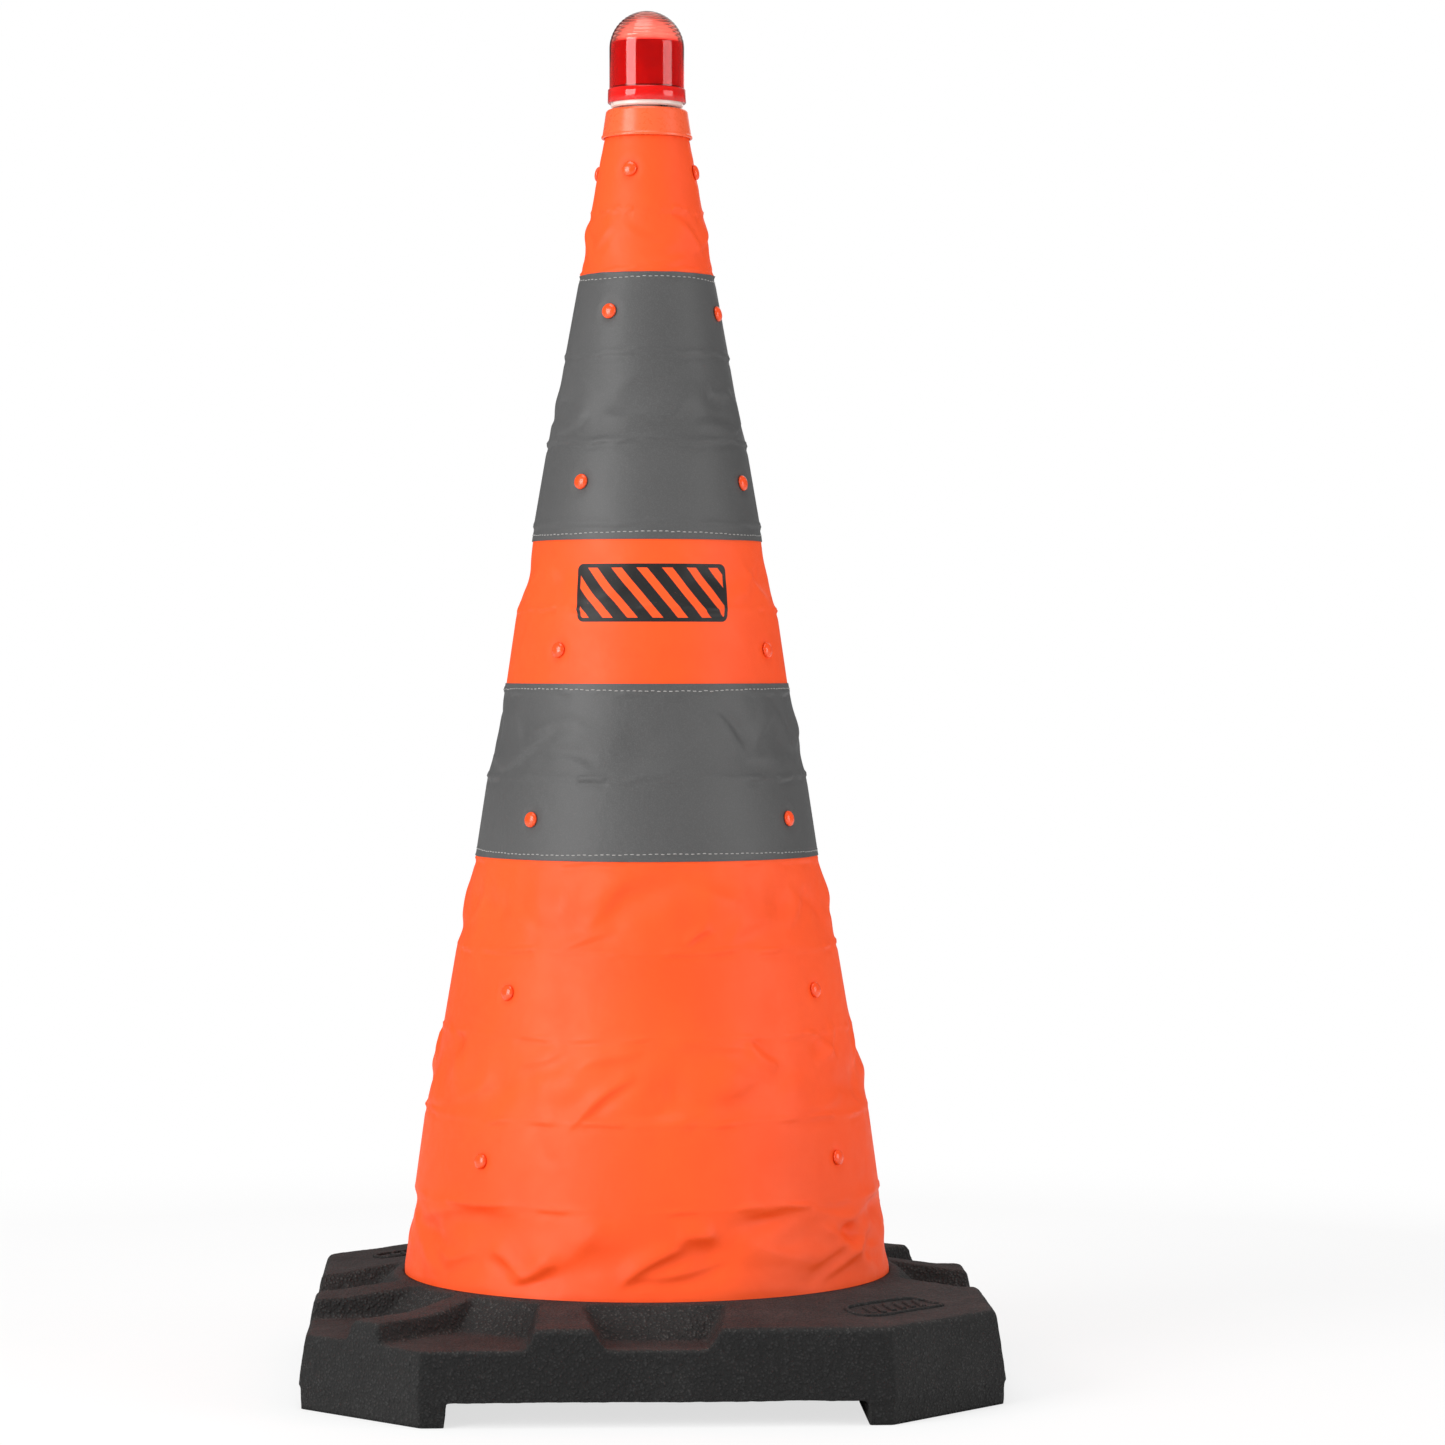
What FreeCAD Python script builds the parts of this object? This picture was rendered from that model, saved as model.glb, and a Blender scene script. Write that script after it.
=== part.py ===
import FreeCAD, Part
import Sketcher
import math
import os

# Collapsible traffic cone with a plug-in warning lamp.
# Frame: origin on the cone's axis at the underside of the feet, +Z up, front is -Y.
# Fabric sleeve over seven riveted hoops that nest inside one another in the base.

V = FreeCAD.Vector
doc = FreeCAD.newDocument("traffic_cone")
sheet = doc.addObject("Spreadsheet::Sheet", "Dims")

# ------------------------------------------------------------ driving dimensions
# (alias, value or formula). Endings: _r radius from the cone's axis or of the part itself,
# _z height above the ground, _h thickness or rise, _half half a width.
DIMS = [
    # small allowances
    ("overrun", 10.0), ("rest_gap", 0.02),
    # rubber base
    ("base_half", 190.0), ("foot_half", "=base_half - 1"), ("base_corner", 65.0),
    ("base_edge_z", 51.0), ("base_crown_z", 58.0),
    ("base_crown_r", 180.0), ("base_draft", 8.0), ("foot_inner", 111.0),
    ("foot_height", 13.0), ("ledge_z", 19.0), ("ledge_r", 120.0),
    ("well_r", 136.4), ("base_edge_round", 4.0),
    ("crown_low_z", "=foot_height + 15"), ("crown_top_r", "=well_r + 0.6"),
    # pockets around the base
    ("pocket_floor_z", 40.0), ("pocket_back_r", 160.0), ("pocket_top_r", 141.5),
    ("side_pocket_half", 37.5), ("side_pocket_floor_half", 27.0),
    ("corner_pocket_right", -61.5), ("corner_pocket_floor_right", -68.5),
    ("corner_ridge_half", 8.0), ("corner_ridge_foot_half", 13.0),
    # inner tray that holds the hem of the sleeve
    ("tray_floor_z", 21.5), ("tray_under_z", "=ledge_z + 0.05"), ("tray_r", 135.3),
    ("tray_in_r", 133.5), ("tray_rim_z", 60.0),
    ("screw_circle_r", 128.0), ("screw_r", 2.0), ("screw_head_r", 4.0),
    ("screw_low_z", 14.0), ("screw_count", 8),
    ("screw_slot_l", 4.0), ("screw_slot_w", 0.9), ("screw_slot_d", 0.9),
    ("hem_in_r", "=tray_r + 0.05"), ("hem_out_r", "=well_r - 0.15"),
    ("hem_low_z", 24.0), ("hem_top_z", 60.5),
    # cloth, hoops and reflective bands
    ("cloth", 0.8), ("cloth_gap", 0.05), ("hoop_wall", 1.8), ("hoop_lip", 2.0),
    ("hoop_lip_h", 2.0), ("hoop_height", 46.0), ("panel_gap", 0.05),
    ("band", 0.5), ("band_gap", 0.05),
    ("band_low_z", 291.0), ("band_low_top_z", 387.5), ("band_low_top_r", 79.05),
    ("band_high_z", 467.0), ("band_high_r", 64.25), ("band_high_top_z", 616.0),
    # rivets
    ("rivet_r", 1.9), ("rivet_hole_r", "=rivet_r + 0.1"), ("rivet_head_r", 4.0),
    ("rivet_head_h", 2.0), ("rivet_rim_h", 0.5), ("rivet_tail_r", 3.4), ("rivet_tail_h", 1.3),
    ("rivet_chamfer", 0.5), ("rivet_gap", 0.03), ("rivet_tail_gap", 0.25),
    ("rivet_spread", 100.0),
    # lifting spring
    ("wire_r", 1.5), ("spring_low_r", 118.0), ("spring_low_z", 23.4),
    ("spring_top_r", 16.6), ("spring_top_z", 648.3), ("spring_turns", 9.0),
    # clips over the lowest coil
    ("clip_in_r", "=spring_low_r - 3.4"), ("clip_out_r", "=spring_low_r + 3.4"),
    ("clip_width", 12.0), ("clip_top_z", 26.8), ("clip_count", 4),
    ("clip_tunnel_in_r", 116.1), ("clip_tunnel_out_r", 119.8), ("clip_tunnel_z", 25.2),
    # collar and lamp socket
    ("collar_low_z", 693.2), ("collar_top_z", 709.2), ("collar_lip_r", 25.6),
    ("collar_lip_h", 1.3), ("collar_lip_step", 0.6), ("collar_slope_h", 2.0),
    ("collar_edge_w", 0.9), ("collar_edge_h", 1.2), ("collar_skirt_h", 4.1),
    ("collar_top_r", 22.9), ("collar_in_r", 20.8), ("collar_skirt_in_r", 24.05),
    ("collar_bore_r", 11.95), ("collar_plate_z", 706.2),
    ("socket_bore_r", 11.78), ("socket_r", 14.2), ("socket_flange_r", 19.5),
    ("socket_low_z", 650.0), ("socket_top_z", "=collar_plate_z - 0.05"),
    ("socket_flange", 2.0),
    # lamp body and lens
    ("stem_r", 11.7), ("stem_bore_r", 10.6), ("stem_low_z", 676.0),
    ("seat_z", "=collar_top_z + 0.03"), ("seat_r", 14.0),
    ("disc_low_z", 710.6), ("disc_r", 20.3), ("disc_chamfer", 0.9), ("disc_top_z", 720.8),
    ("disc_in_r", 18.9), ("disc_floor_z", 716.6), ("tube_top_z", 725.0),
    ("rim_r", 22.0), ("rim_in_r", "=disc_r + 0.05"), ("rim_low_z", 713.2),
    ("rim_top_z", 721.0), ("rim_low_chamfer", 0.3), ("rim_top_chamfer", 0.5),
    ("lens_seat_z", "=disc_top_z + 0.05"),
    ("lens_r", 21.1), ("lens_wall", 1.6), ("lens_straight", 23.0),
    # push button and its switch
    ("button_circle_r", 16.6), ("button_angle", -56.6), ("button_r", 1.9),
    ("button_hole_r", "=button_r + 0.07"), ("button_low_z", 709.8),
    ("button_keeper_r", 2.15), ("button_keeper_h", 0.6),
    ("keeper_z", "=disc_floor_z + 0.03"), ("button_top_z", "=disc_floor_z + 0.1"),
    ("board_in_r", 11.8), ("board_r", 19.3), ("board_z", "=disc_top_z + 0.03"),
    ("board_h", 1.2), ("tact_size", 4.2), ("tact_low_z", 718.75),
    # light source
    ("led_plate_r", 13.0), ("led_plate_z", "=tube_top_z + 0.1"), ("led_plate_h", 1.6),
    ("led_r", 2.5), ("led_straight", 4.0), ("led_circle_r", 6.5), ("led_count", 4),
    ("optic_r", 19.0), ("optic_wall", 1.2), ("optic_low_z", 722.1), ("optic_top_z", 747.0),
    ("optic_top_h", 1.5),
    # cells, contacts and battery cap
    ("cell_r", 5.2), ("cell_body", 43.5), ("cell_nub_r", 1.9), ("cell_nub", 1.0),
    ("cell_offset", 5.25), ("cell_low_z", 679.8), ("contact_r", 10.3), ("contact_z", 724.4),
    ("contact_h", 0.5), ("cap_low_z", 670.5), ("cap_top_z", "=stem_low_z - 0.05"),
    ("cap_chamfer", 0.6), ("cap_plug_r", "=stem_bore_r - 0.08"), ("cap_plug_z", 678.8),
    ("cap_slot_w", 1.8), ("cap_slot_l", 15.0), ("cap_slot_d", 1.6),
    ("cap_contact_r", 9.8), ("cap_contact_z", "=cap_plug_z + 0.05"),
]

# Hoops, bottom to top: lower edge z, outer sleeve radius at the lower and upper edge,
# angle of the first rivet (degrees from +X), and (z, outer radius) of the free cloth below
# the hoop. The second rivet is rivet_spread back from the first; two more are opposite.
HOOPS = [
    (105.0, 130.6, 124.3, -36.7, [(60.55, 136.2), (73.8, 132.9), (91.8, 131.7)]),
    (196.0, 114.5, 106.7, -35.0, [(160.0, 121.3), (178.0, 117.8)]),
    (290.0, 96.0, 89.0, -34.6, [(254.0, 103.0), (272.0, 99.9)]),
    (383.0, 79.7, 73.0, -31.2, [(348.5, 85.3), (366.0, 82.3)]),
    (476.0, 63.1, 55.2, -29.0, [(443.0, 68.1), (460.0, 65.2)]),
    (571.0, 45.4, 37.0, -21.6, [(533.0, 52.4), (555.7, 48.4)]),
    (651.0, 31.5, 23.1, -12.3, [(627.7, 35.5), (636.8, 34.3)]),
]
BANDED_HOOPS = (3, 5, 6)

for n, (low_z, low_r, top_r, angle, waist_points) in enumerate(HOOPS, 1):
    DIMS += [("hoop_%d_z" % n, low_z), ("hoop_%d_low_r" % n, low_r),
             ("hoop_%d_top_r" % n, top_r), ("hoop_%d_angle" % n, angle)]
    for letter, (z, radius) in zip("abc", waist_points):
        DIMS += [("waist_%d_z%s" % (n, letter), z), ("waist_%d_r%s" % (n, letter), radius)]

for row, (alias, value) in enumerate(DIMS, 1):
    sheet.set("A%d" % row, alias)
    sheet.set("B%d" % row, str(value))
    sheet.setAlias("B%d" % row, alias)
doc.recompute()


# ------------------------------------------------------------ helpers
def size(alias):
    """A size from the sheet."""
    return float(sheet.get(alias))


def total(text):
    """Value of a sum of aliases and numbers, such as 'cloth + 2.0 - band'."""
    result, sign = 0.0, 1.0
    for token in text.split():
        if token in "+-":
            sign = 1.0 if token == "+" else -1.0
        else:
            result += sign * (size(token) if token[0].isalpha() else float(token))
            sign = 1.0
    return result


def bound(text):
    """The same sum as an expression on the sheet."""
    return " ".join("Dims." + token if token[0].isalpha() else token for token in text.split())


def add(kind, label):
    obj = doc.addObject(kind, label)
    obj.Label = label
    return obj


def profile(body, name, role, corners, lift=None):
    """Closed polygon sketch, every corner placed by expressions on the sheet."""
    sketch = body.newObject("Sketcher::SketchObject", name)
    support = [o for o in body.Origin.OriginFeatures if o.Role == role][0]
    sketch.AttachmentSupport = [(support, "")]
    sketch.MapMode = "FlatFace"
    if lift is not None:
        sketch.AttachmentOffset = FreeCAD.Placement(V(0, 0, total(lift)), FreeCAD.Rotation())
        sketch.setExpression("AttachmentOffset.Base.z", bound(lift))
    points = [V(total(a), total(b), 0) for a, b in corners]
    count = len(points)
    for i in range(count):
        sketch.addGeometry(Part.LineSegment(points[i], points[(i + 1) % count]), False)
    for i in range(count):
        sketch.addConstraint(Sketcher.Constraint("Coincident", i, 2, (i + 1) % count, 1))
    for i, (across, up) in enumerate(corners):
        for kind, text, value, zero_axis in (("DistanceX", across, points[i].x, -2),
                                             ("DistanceY", up, points[i].y, -1)):
            # a zero distance is held on the sketch axis instead
            if abs(value) < 1e-9:
                sketch.addConstraint(Sketcher.Constraint("PointOnObject", i, 1, zero_axis))
                continue
            index = sketch.addConstraint(Sketcher.Constraint(kind, -1, 1, i, 1, value))
            if any(ch.isalpha() for ch in text):
                sketch.setExpression("Constraints[%d]" % index, bound(text))
    return sketch


def sweep(body, kind, name, sketch):
    """Full turn of a sketch about the cone's axis, adding or cutting."""
    feature = body.newObject("PartDesign::" + kind, name)
    feature.Profile = sketch
    feature.ReferenceAxis = (sketch, ["V_Axis"])
    feature.Angle = 360
    return feature


def turned(label, corners):
    """A body turned about the cone's axis from one profile of (radius, height) corners."""
    body = add("PartDesign::Body", label)
    sketch = profile(body, label + "_profile", "XZ_Plane", corners)
    body.Tip = sweep(body, "Revolution", label + "_turn", sketch)
    return body


def ring(label, inner, outer, low, high):
    """Flat ring or straight tube; an inner radius of '0' gives a disc."""
    return turned(label, [(inner, low), (outer, low), (outer, high), (inner, high)])


def cylinder(label, radius, height, base):
    obj = add("Part::Cylinder", label)
    obj.setExpression("Radius", bound(radius))
    obj.setExpression("Height", bound(height))
    obj.Placement = FreeCAD.Placement(base, FreeCAD.Rotation())
    return obj


def sphere(label, radius, centre):
    obj = add("Part::Sphere", label)
    obj.setExpression("Radius", bound(radius))
    obj.Placement = FreeCAD.Placement(centre, FreeCAD.Rotation())
    return obj


def box(label, length, width, height, corner, spin=0.0):
    """Box with its corner placed first, then spun about the cone's axis."""
    obj = add("Part::Box", label)
    obj.setExpression("Length", bound(length))
    obj.setExpression("Width", bound(width))
    obj.setExpression("Height", bound(height))
    turn = FreeCAD.Rotation(V(0, 0, 1), spin)
    obj.Placement = FreeCAD.Placement(turn.multVec(corner), turn)
    return obj


def fuse(label, *parts):
    obj = add("Part::MultiFuse", label)
    obj.Shapes = list(parts)
    return obj


def group(label, parts):
    obj = add("Part::Compound", label)
    obj.Links = parts
    return obj


def cut(label, base, tool):
    obj = add("Part::Cut", label)
    obj.Base = base
    obj.Tool = tool
    return obj


def made(label, shape):
    """A piece whose form only Part's own functions give; sizes come from the sheet."""
    obj = add("Part::Feature", label)
    obj.Shape = shape
    return obj


def on_circle(radius, degrees):
    """(x, y) of a place on a circle about the cone's axis."""
    angle = math.radians(degrees)
    return radius * math.cos(angle), radius * math.sin(angle)


def even_angles(count_alias):
    """Equally spaced angles in degrees, starting half a pitch from +X."""
    count = int(size(count_alias))
    return [(k + 0.5) * 360.0 / count for k in range(count)]


def screw_places():
    return [on_circle(size("screw_circle_r"), a) for a in even_angles("screw_count")]


nodes = []


def keep(obj):
    """Marks a finished piece for export."""
    nodes.append(obj)


# ------------------------------------------------------------ rubber base
def octagon(half):
    """Square outline with its corners cut off."""
    near, far = half + " - base_corner", half
    minus_near, minus_far = "- " + half + " + base_corner", "- " + half
    return [(near, minus_far), (far, minus_near), (far, near), (near, far),
            (minus_near, far), (minus_far, near), (minus_far, minus_near),
            (minus_near, minus_far)]


def rim_edges(shape):
    """Names of the straight outer edges at the top of the base's sides."""
    names = []
    for i, edge in enumerate(shape.Edges, 1):
        if len(edge.Vertexes) != 2 or edge.Length <= 30:
            continue
        ends = [v.Point for v in edge.Vertexes]
        level = all(abs(p.z - size("base_edge_z")) < 1e-4 for p in ends)
        outer = all(max(abs(p.x), abs(p.y)) > 150 for p in ends)
        if level and outer and edge.Curve.TypeId == "Part::GeomLine":
            names.append("Edge%d" % i)
    return names


def base_block():
    body = add("PartDesign::Body", "base_block")
    foot = body.newObject("PartDesign::Pad", "base_lower")
    foot.Profile = profile(body, "base_lower_outline", "XY_Plane", octagon("foot_half"))
    foot.setExpression("Length", "Dims.foot_height")
    outline = profile(body, "base_upper_outline", "XY_Plane", octagon("base_half"),
                      "foot_height")
    upper = body.newObject("PartDesign::Pad", "base_upper")
    upper.Profile = outline
    upper.setExpression("Length", "Dims.base_edge_z - Dims.foot_height")
    upper.setExpression("TaperAngle", "-1 * Dims.base_draft")
    sketch = profile(body, "base_crown_profile", "XZ_Plane", [
        ("ledge_r", "crown_low_z"), ("base_crown_r", "crown_low_z"),
        ("base_crown_r", "base_edge_z"), ("crown_top_r", "base_crown_z"),
        ("ledge_r", "base_crown_z")])
    crown = sweep(body, "Revolution", "base_crown", sketch)
    doc.recompute()

    rounding = body.newObject("PartDesign::Fillet", "base_rim_round")
    rounding.Base = (crown, rim_edges(crown.Shape))
    rounding.setExpression("Radius", "Dims.base_edge_round")

    # cross-shaped hollow that leaves the four corner feet
    near, far = "foot_inner", "base_half + overrun"
    minus_near, minus_far = "- foot_inner", "- base_half - overrun"
    outline = profile(body, "base_arch_outline", "XY_Plane", [
        (near, minus_far), (near, minus_near), (far, minus_near), (far, near),
        (near, near), (near, far), (minus_near, far), (minus_near, near),
        (minus_far, near), (minus_far, minus_near), (minus_near, minus_near),
        (minus_near, minus_far)])
    arch = body.newObject("PartDesign::Pocket", "base_arch")
    arch.Profile = outline
    arch.setExpression("Length", "Dims.foot_height")
    arch.Reversed = True
    sketch = profile(body, "base_well_profile", "XZ_Plane", [
        ("0", "0"), ("ledge_r", "0"), ("ledge_r", "ledge_z"), ("well_r", "ledge_z"),
        ("well_r", "base_crown_z + overrun"), ("0", "base_crown_z + overrun")])
    body.Tip = sweep(body, "Groove", "base_well", sketch)
    return body


def lofted(low, low_z, high, high_z):
    """Ruled solid between two level polygons."""
    wires = []
    for points, z in ((low, low_z), (high, high_z)):
        wires.append(Part.makePolygon([V(x, y, z) for x, y in points + points[:1]]))
    return Part.makeLoft(wires, True, True)


def pocket_cutters():
    """Eight pockets, one mid-side on each side and a pair on each of the -X-Y and +X+Y corners.

    Side walls slope; the back walls lie on one cone round the sleeve.
    """
    floor_z, crown_z = size("pocket_floor_z"), size("base_crown_z")
    top_z = crown_z + 6.0           # cutters end above the crown
    measured_z = crown_z - 2.0      # level at which the upper widths are given
    outside = -size("base_half") - 12.0
    side_inner_y = -100.0           # inside the cone that makes the back wall

    def extended(floor, top):
        return floor + (top - floor) * (top_z - floor_z) / (measured_z - floor_z)

    def side_outline(half):
        return [(-half, outside), (half, outside), (half, side_inner_y), (-half, side_inner_y)]

    def corner_outline(right, ridge_half):
        # the slanting side runs parallel to the diagonal, ridge_half away from it
        shift = ridge_half * math.sqrt(2.0)
        return [(right, outside), (right, right - shift), (outside + shift, outside)]

    side_floor = size("side_pocket_floor_half")
    right_floor = size("corner_pocket_floor_right")
    ridge_floor = size("corner_ridge_foot_half")
    side = lofted(side_outline(side_floor), floor_z,
                  side_outline(extended(side_floor, size("side_pocket_half"))), top_z)
    corner = lofted(corner_outline(right_floor, ridge_floor), floor_z,
                    corner_outline(extended(right_floor, size("corner_pocket_right")),
                                   extended(ridge_floor, size("corner_ridge_half"))), top_z)

    back_r = size("pocket_back_r")
    slope = (back_r - size("pocket_top_r")) / (crown_z - floor_z)
    back_cone = Part.makeCone(back_r + slope, back_r - slope * (top_z + 1 - floor_z),
                              top_z + 2 - floor_z, V(0, 0, floor_z - 1))
    # mirrors in the two diagonals, then a half turn
    moves = [FreeCAD.Matrix(0, 1, 0, 0, 1, 0, 0, 0, 0, 0, 1, 0, 0, 0, 0, 1),
             FreeCAD.Matrix(0, -1, 0, 0, -1, 0, 0, 0, 0, 0, 1, 0, 0, 0, 0, 1),
             FreeCAD.Matrix(-1, 0, 0, 0, 0, -1, 0, 0, 0, 0, 1, 0, 0, 0, 0, 1)]
    cutters = []
    for shape in (side, corner):
        pocket = shape.cut(back_cone)
        cutters.append(pocket)
        cutters += [pocket.transformGeometry(move) for move in moves]
    return cutters


def base_moulding():
    block = base_block()
    side_play, end_play, hole_depth = 0.05, 0.3, 10.0
    screw_holes = [Part.makeCylinder(size("screw_r") + side_play, hole_depth,
                                     V(x, y, size("screw_low_z") - end_play))
                   for x, y in screw_places()]
    tools = made("base_pockets", Part.makeCompound(pocket_cutters() + screw_holes))
    keep(cut("base_moulding", block, tools))


# ------------------------------------------------------------ tray, screws and hem
def tray_and_screws():
    tray = turned("tray_dish", [
        ("0", "tray_under_z"), ("tray_r", "tray_under_z"), ("tray_r", "tray_rim_z"),
        ("tray_in_r", "tray_rim_z"), ("tray_in_r", "tray_floor_z"), ("0", "tray_floor_z")])
    top, low = size("tray_floor_z"), size("screw_low_z")
    shank_r, head_r = size("screw_r"), size("screw_head_r")
    head_h = head_r - shank_r       # 45 degree countersink
    head_z = top - head_h
    play = 0.1
    slot_l, slot_w, slot_d = size("screw_slot_l"), size("screw_slot_w"), size("screw_slot_d")
    sinks, screws = [], []
    for x, y in screw_places():
        cone = Part.makeCone(shank_r + play, head_r + play, head_h, V(x, y, head_z))
        sinks.append(cone.fuse(Part.makeCylinder(shank_r + play, 5.0, V(x, y, top - 4.0))))
        head = Part.makeCone(shank_r, head_r, head_h, V(x, y, head_z))
        shank = Part.makeCylinder(shank_r, head_z - low + 0.01, V(x, y, low))
        screw = head.fuse(shank)
        # cross recess, its cutters standing a little above the head
        for length, width in ((slot_l, slot_w), (slot_w, slot_l)):
            screw = screw.cut(Part.makeBox(length, width, slot_d + 0.1,
                                           V(x - length / 2, y - width / 2, top - slot_d)))
        screws.append(screw.removeSplitter())
    keep(cut("hem_tray", tray, made("tray_sinks", Part.makeCompound(sinks))))
    keep(made("tray_screws", Part.makeCompound(screws)))


# ------------------------------------------------------------ hoops, rivets, cloth
def rivet_solid(seat, depth):
    """Rivet on +Z: head resting at z = seat, tail spread at z = -depth."""
    head_r, head_h, rim_h = size("rivet_head_r"), size("rivet_head_h"), size("rivet_rim_h")
    tail_r, tail_z = size("rivet_tail_r"), -depth - size("rivet_tail_h")
    shank_r, chamfer = size("rivet_r"), size("rivet_chamfer")
    # low spherical dome over a short rim
    rise = head_h - rim_h
    ball = (head_r * head_r + rise * rise) / (2.0 * rise)
    half_angle = math.asin(head_r / ball) / 2.0
    top = V(0, 0, seat + head_h)
    points = [V(0, 0, tail_z), V(tail_r - chamfer, 0, tail_z), V(tail_r, 0, tail_z + chamfer),
              V(tail_r, 0, -depth), V(shank_r, 0, -depth), V(shank_r, 0, seat),
              V(head_r, 0, seat), V(head_r, 0, seat + rim_h)]
    outline = [Part.LineSegment(a, b).toShape() for a, b in zip(points, points[1:])]
    on_dome = V(ball * math.sin(half_angle), 0, top.z - ball + ball * math.cos(half_angle))
    outline.append(Part.Arc(points[-1], on_dome, top).toShape())
    outline.append(Part.LineSegment(top, points[0]).toShape())
    return Part.Face(Part.Wire(outline)).revolve(V(0, 0, 0), V(0, 0, 1), 360).Solids[0]


def band_panel(n, low_r, top_r, low_z, top_z, holes):
    """Stretch of reflective band that lies on hoop n."""
    slope = (total(low_r) - total(top_r)) / size("hoop_height")
    start_z, end_z = low_z + " + panel_gap", top_z + " - panel_gap"
    start_r, end_r = low_r, top_r
    if n == 3:
        start_z = "band_low_z"
        start_r += " - %.5f" % ((size("band_low_z") - total(low_z)) * slope)
    if n == 6:
        end_z = "band_high_top_z"
        end_r += " + %.5f" % ((total(top_z) - size("band_high_top_z")) * slope)
    strip = turned("band_panel_%d_blank" % n, [
        (start_r + " + band_gap", start_z), (start_r + " + band_gap + band", start_z),
        (end_r + " + band_gap + band", end_z), (end_r + " + band_gap", end_z)])
    keep(cut("band_panel_%d" % n, strip, holes))


def hoop_set(n):
    """Hoop n with its rivets, the cloth on it and, where there is one, the band."""
    low_z, top_z = "hoop_%d_z" % n, "hoop_%d_z + hoop_height" % n
    low_r, top_r = "hoop_%d_low_r" % n, "hoop_%d_top_r" % n
    low_out, top_out = low_r + " - cloth - cloth_gap", top_r + " - cloth - cloth_gap"
    lip_z = low_z + " + hoop_lip_h"
    hoop = turned("hoop_%d_blank" % n, [
        (low_out, low_z), (top_out, top_z), (top_out + " - hoop_wall", top_z),
        (low_out + " - hoop_wall", lip_z), (low_out + " - hoop_wall - hoop_lip", lip_z),
        (low_out + " - hoop_wall - hoop_lip", low_z)])
    panel = turned("sleeve_panel_%d_blank" % n, [
        (low_r + " - cloth", low_z + " + panel_gap"), (low_r, low_z + " + panel_gap"),
        (top_r, top_z + " - panel_gap"), (top_r + " - cloth", top_z + " - panel_gap")])

    # rivets stand square to the wall, halfway up the hoop
    lean = math.atan2(total(low_r) - total(top_r), size("hoop_height"))
    mid_r = (total(low_r) + total(top_r)) / 2.0
    mid_z = total(low_z) + size("hoop_height") / 2.0
    banded = n in BANDED_HOOPS
    seat = total("band + band_gap + rivet_gap") if banded else size("rivet_gap")
    depth = (total("cloth + cloth_gap + hoop_wall") * math.cos(lean)
             + total("rivet_gap + rivet_tail_gap"))
    rivet = rivet_solid(seat, depth)
    drill = Part.makeCylinder(size("rivet_hole_r"), 16.0, V(0, 0, -9.0))
    rivets, drills = [], []
    for k in range(4):
        angle = size("hoop_%d_angle" % n) - size("rivet_spread") * (k % 2) + 180.0 * (k // 2)
        axis = V(*on_circle(math.cos(lean), angle), math.sin(lean))
        middle = V(*on_circle(mid_r, angle), mid_z)
        place = FreeCAD.Placement(middle, FreeCAD.Rotation(V(0, 0, 1), axis)).toMatrix()
        rivets.append(rivet.transformed(place))
        drills.append(drill.transformed(place))
    holes = made("rivet_holes_%d" % n, Part.makeCompound(drills))
    keep(cut("hoop_%d" % n, hoop, holes))
    keep(made("hoop_%d_rivets" % n, Part.makeCompound(rivets)))
    keep(cut("sleeve_panel_%d" % n, panel, holes))
    if banded:
        band_panel(n, low_r, top_r, low_z, top_z, holes)


def strip(label, path, inner, outer):
    """Closed strip between two offsets of one (radius, height) path."""
    keep(turned(label, [(r + outer, z) for r, z in path]
                + [(r + inner, z) for r, z in reversed(path)]))


def free_path(n):
    """Outer line of the free cloth below hoop n, from the hoop or hem beneath it."""
    path = [("waist_%d_r%s" % (n, letter), "waist_%d_z%s" % (n, letter))
            for letter in "abc"[:len(HOOPS[n - 1][4])]]
    if n > 1:
        path.insert(0, ("hoop_%d_top_r" % (n - 1),
                        "hoop_%d_z + hoop_height + panel_gap" % (n - 1)))
    return path + [("hoop_%d_low_r" % n, "hoop_%d_z - panel_gap" % n)]


def folds():
    """Free cloth between the hoops, and the free stretches of the bands over it."""
    for n in range(1, len(HOOPS) + 1):
        strip("sleeve_fold_%d" % n, free_path(n), " - cloth", "")
    # the low band ends a little way up hoop 4, the high one starts just below hoop 5
    low_end = [("hoop_4_low_r", "hoop_4_z"), ("band_low_top_r", "band_low_top_z")]
    high_start = [("band_high_r", "band_high_z"), free_path(5)[-1]]
    for n, path in ((4, free_path(4)[:-1] + low_end), (5, high_start), (6, free_path(6))):
        strip("band_fold_%d" % n, path, " + band_gap", " + band_gap + band")


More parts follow.
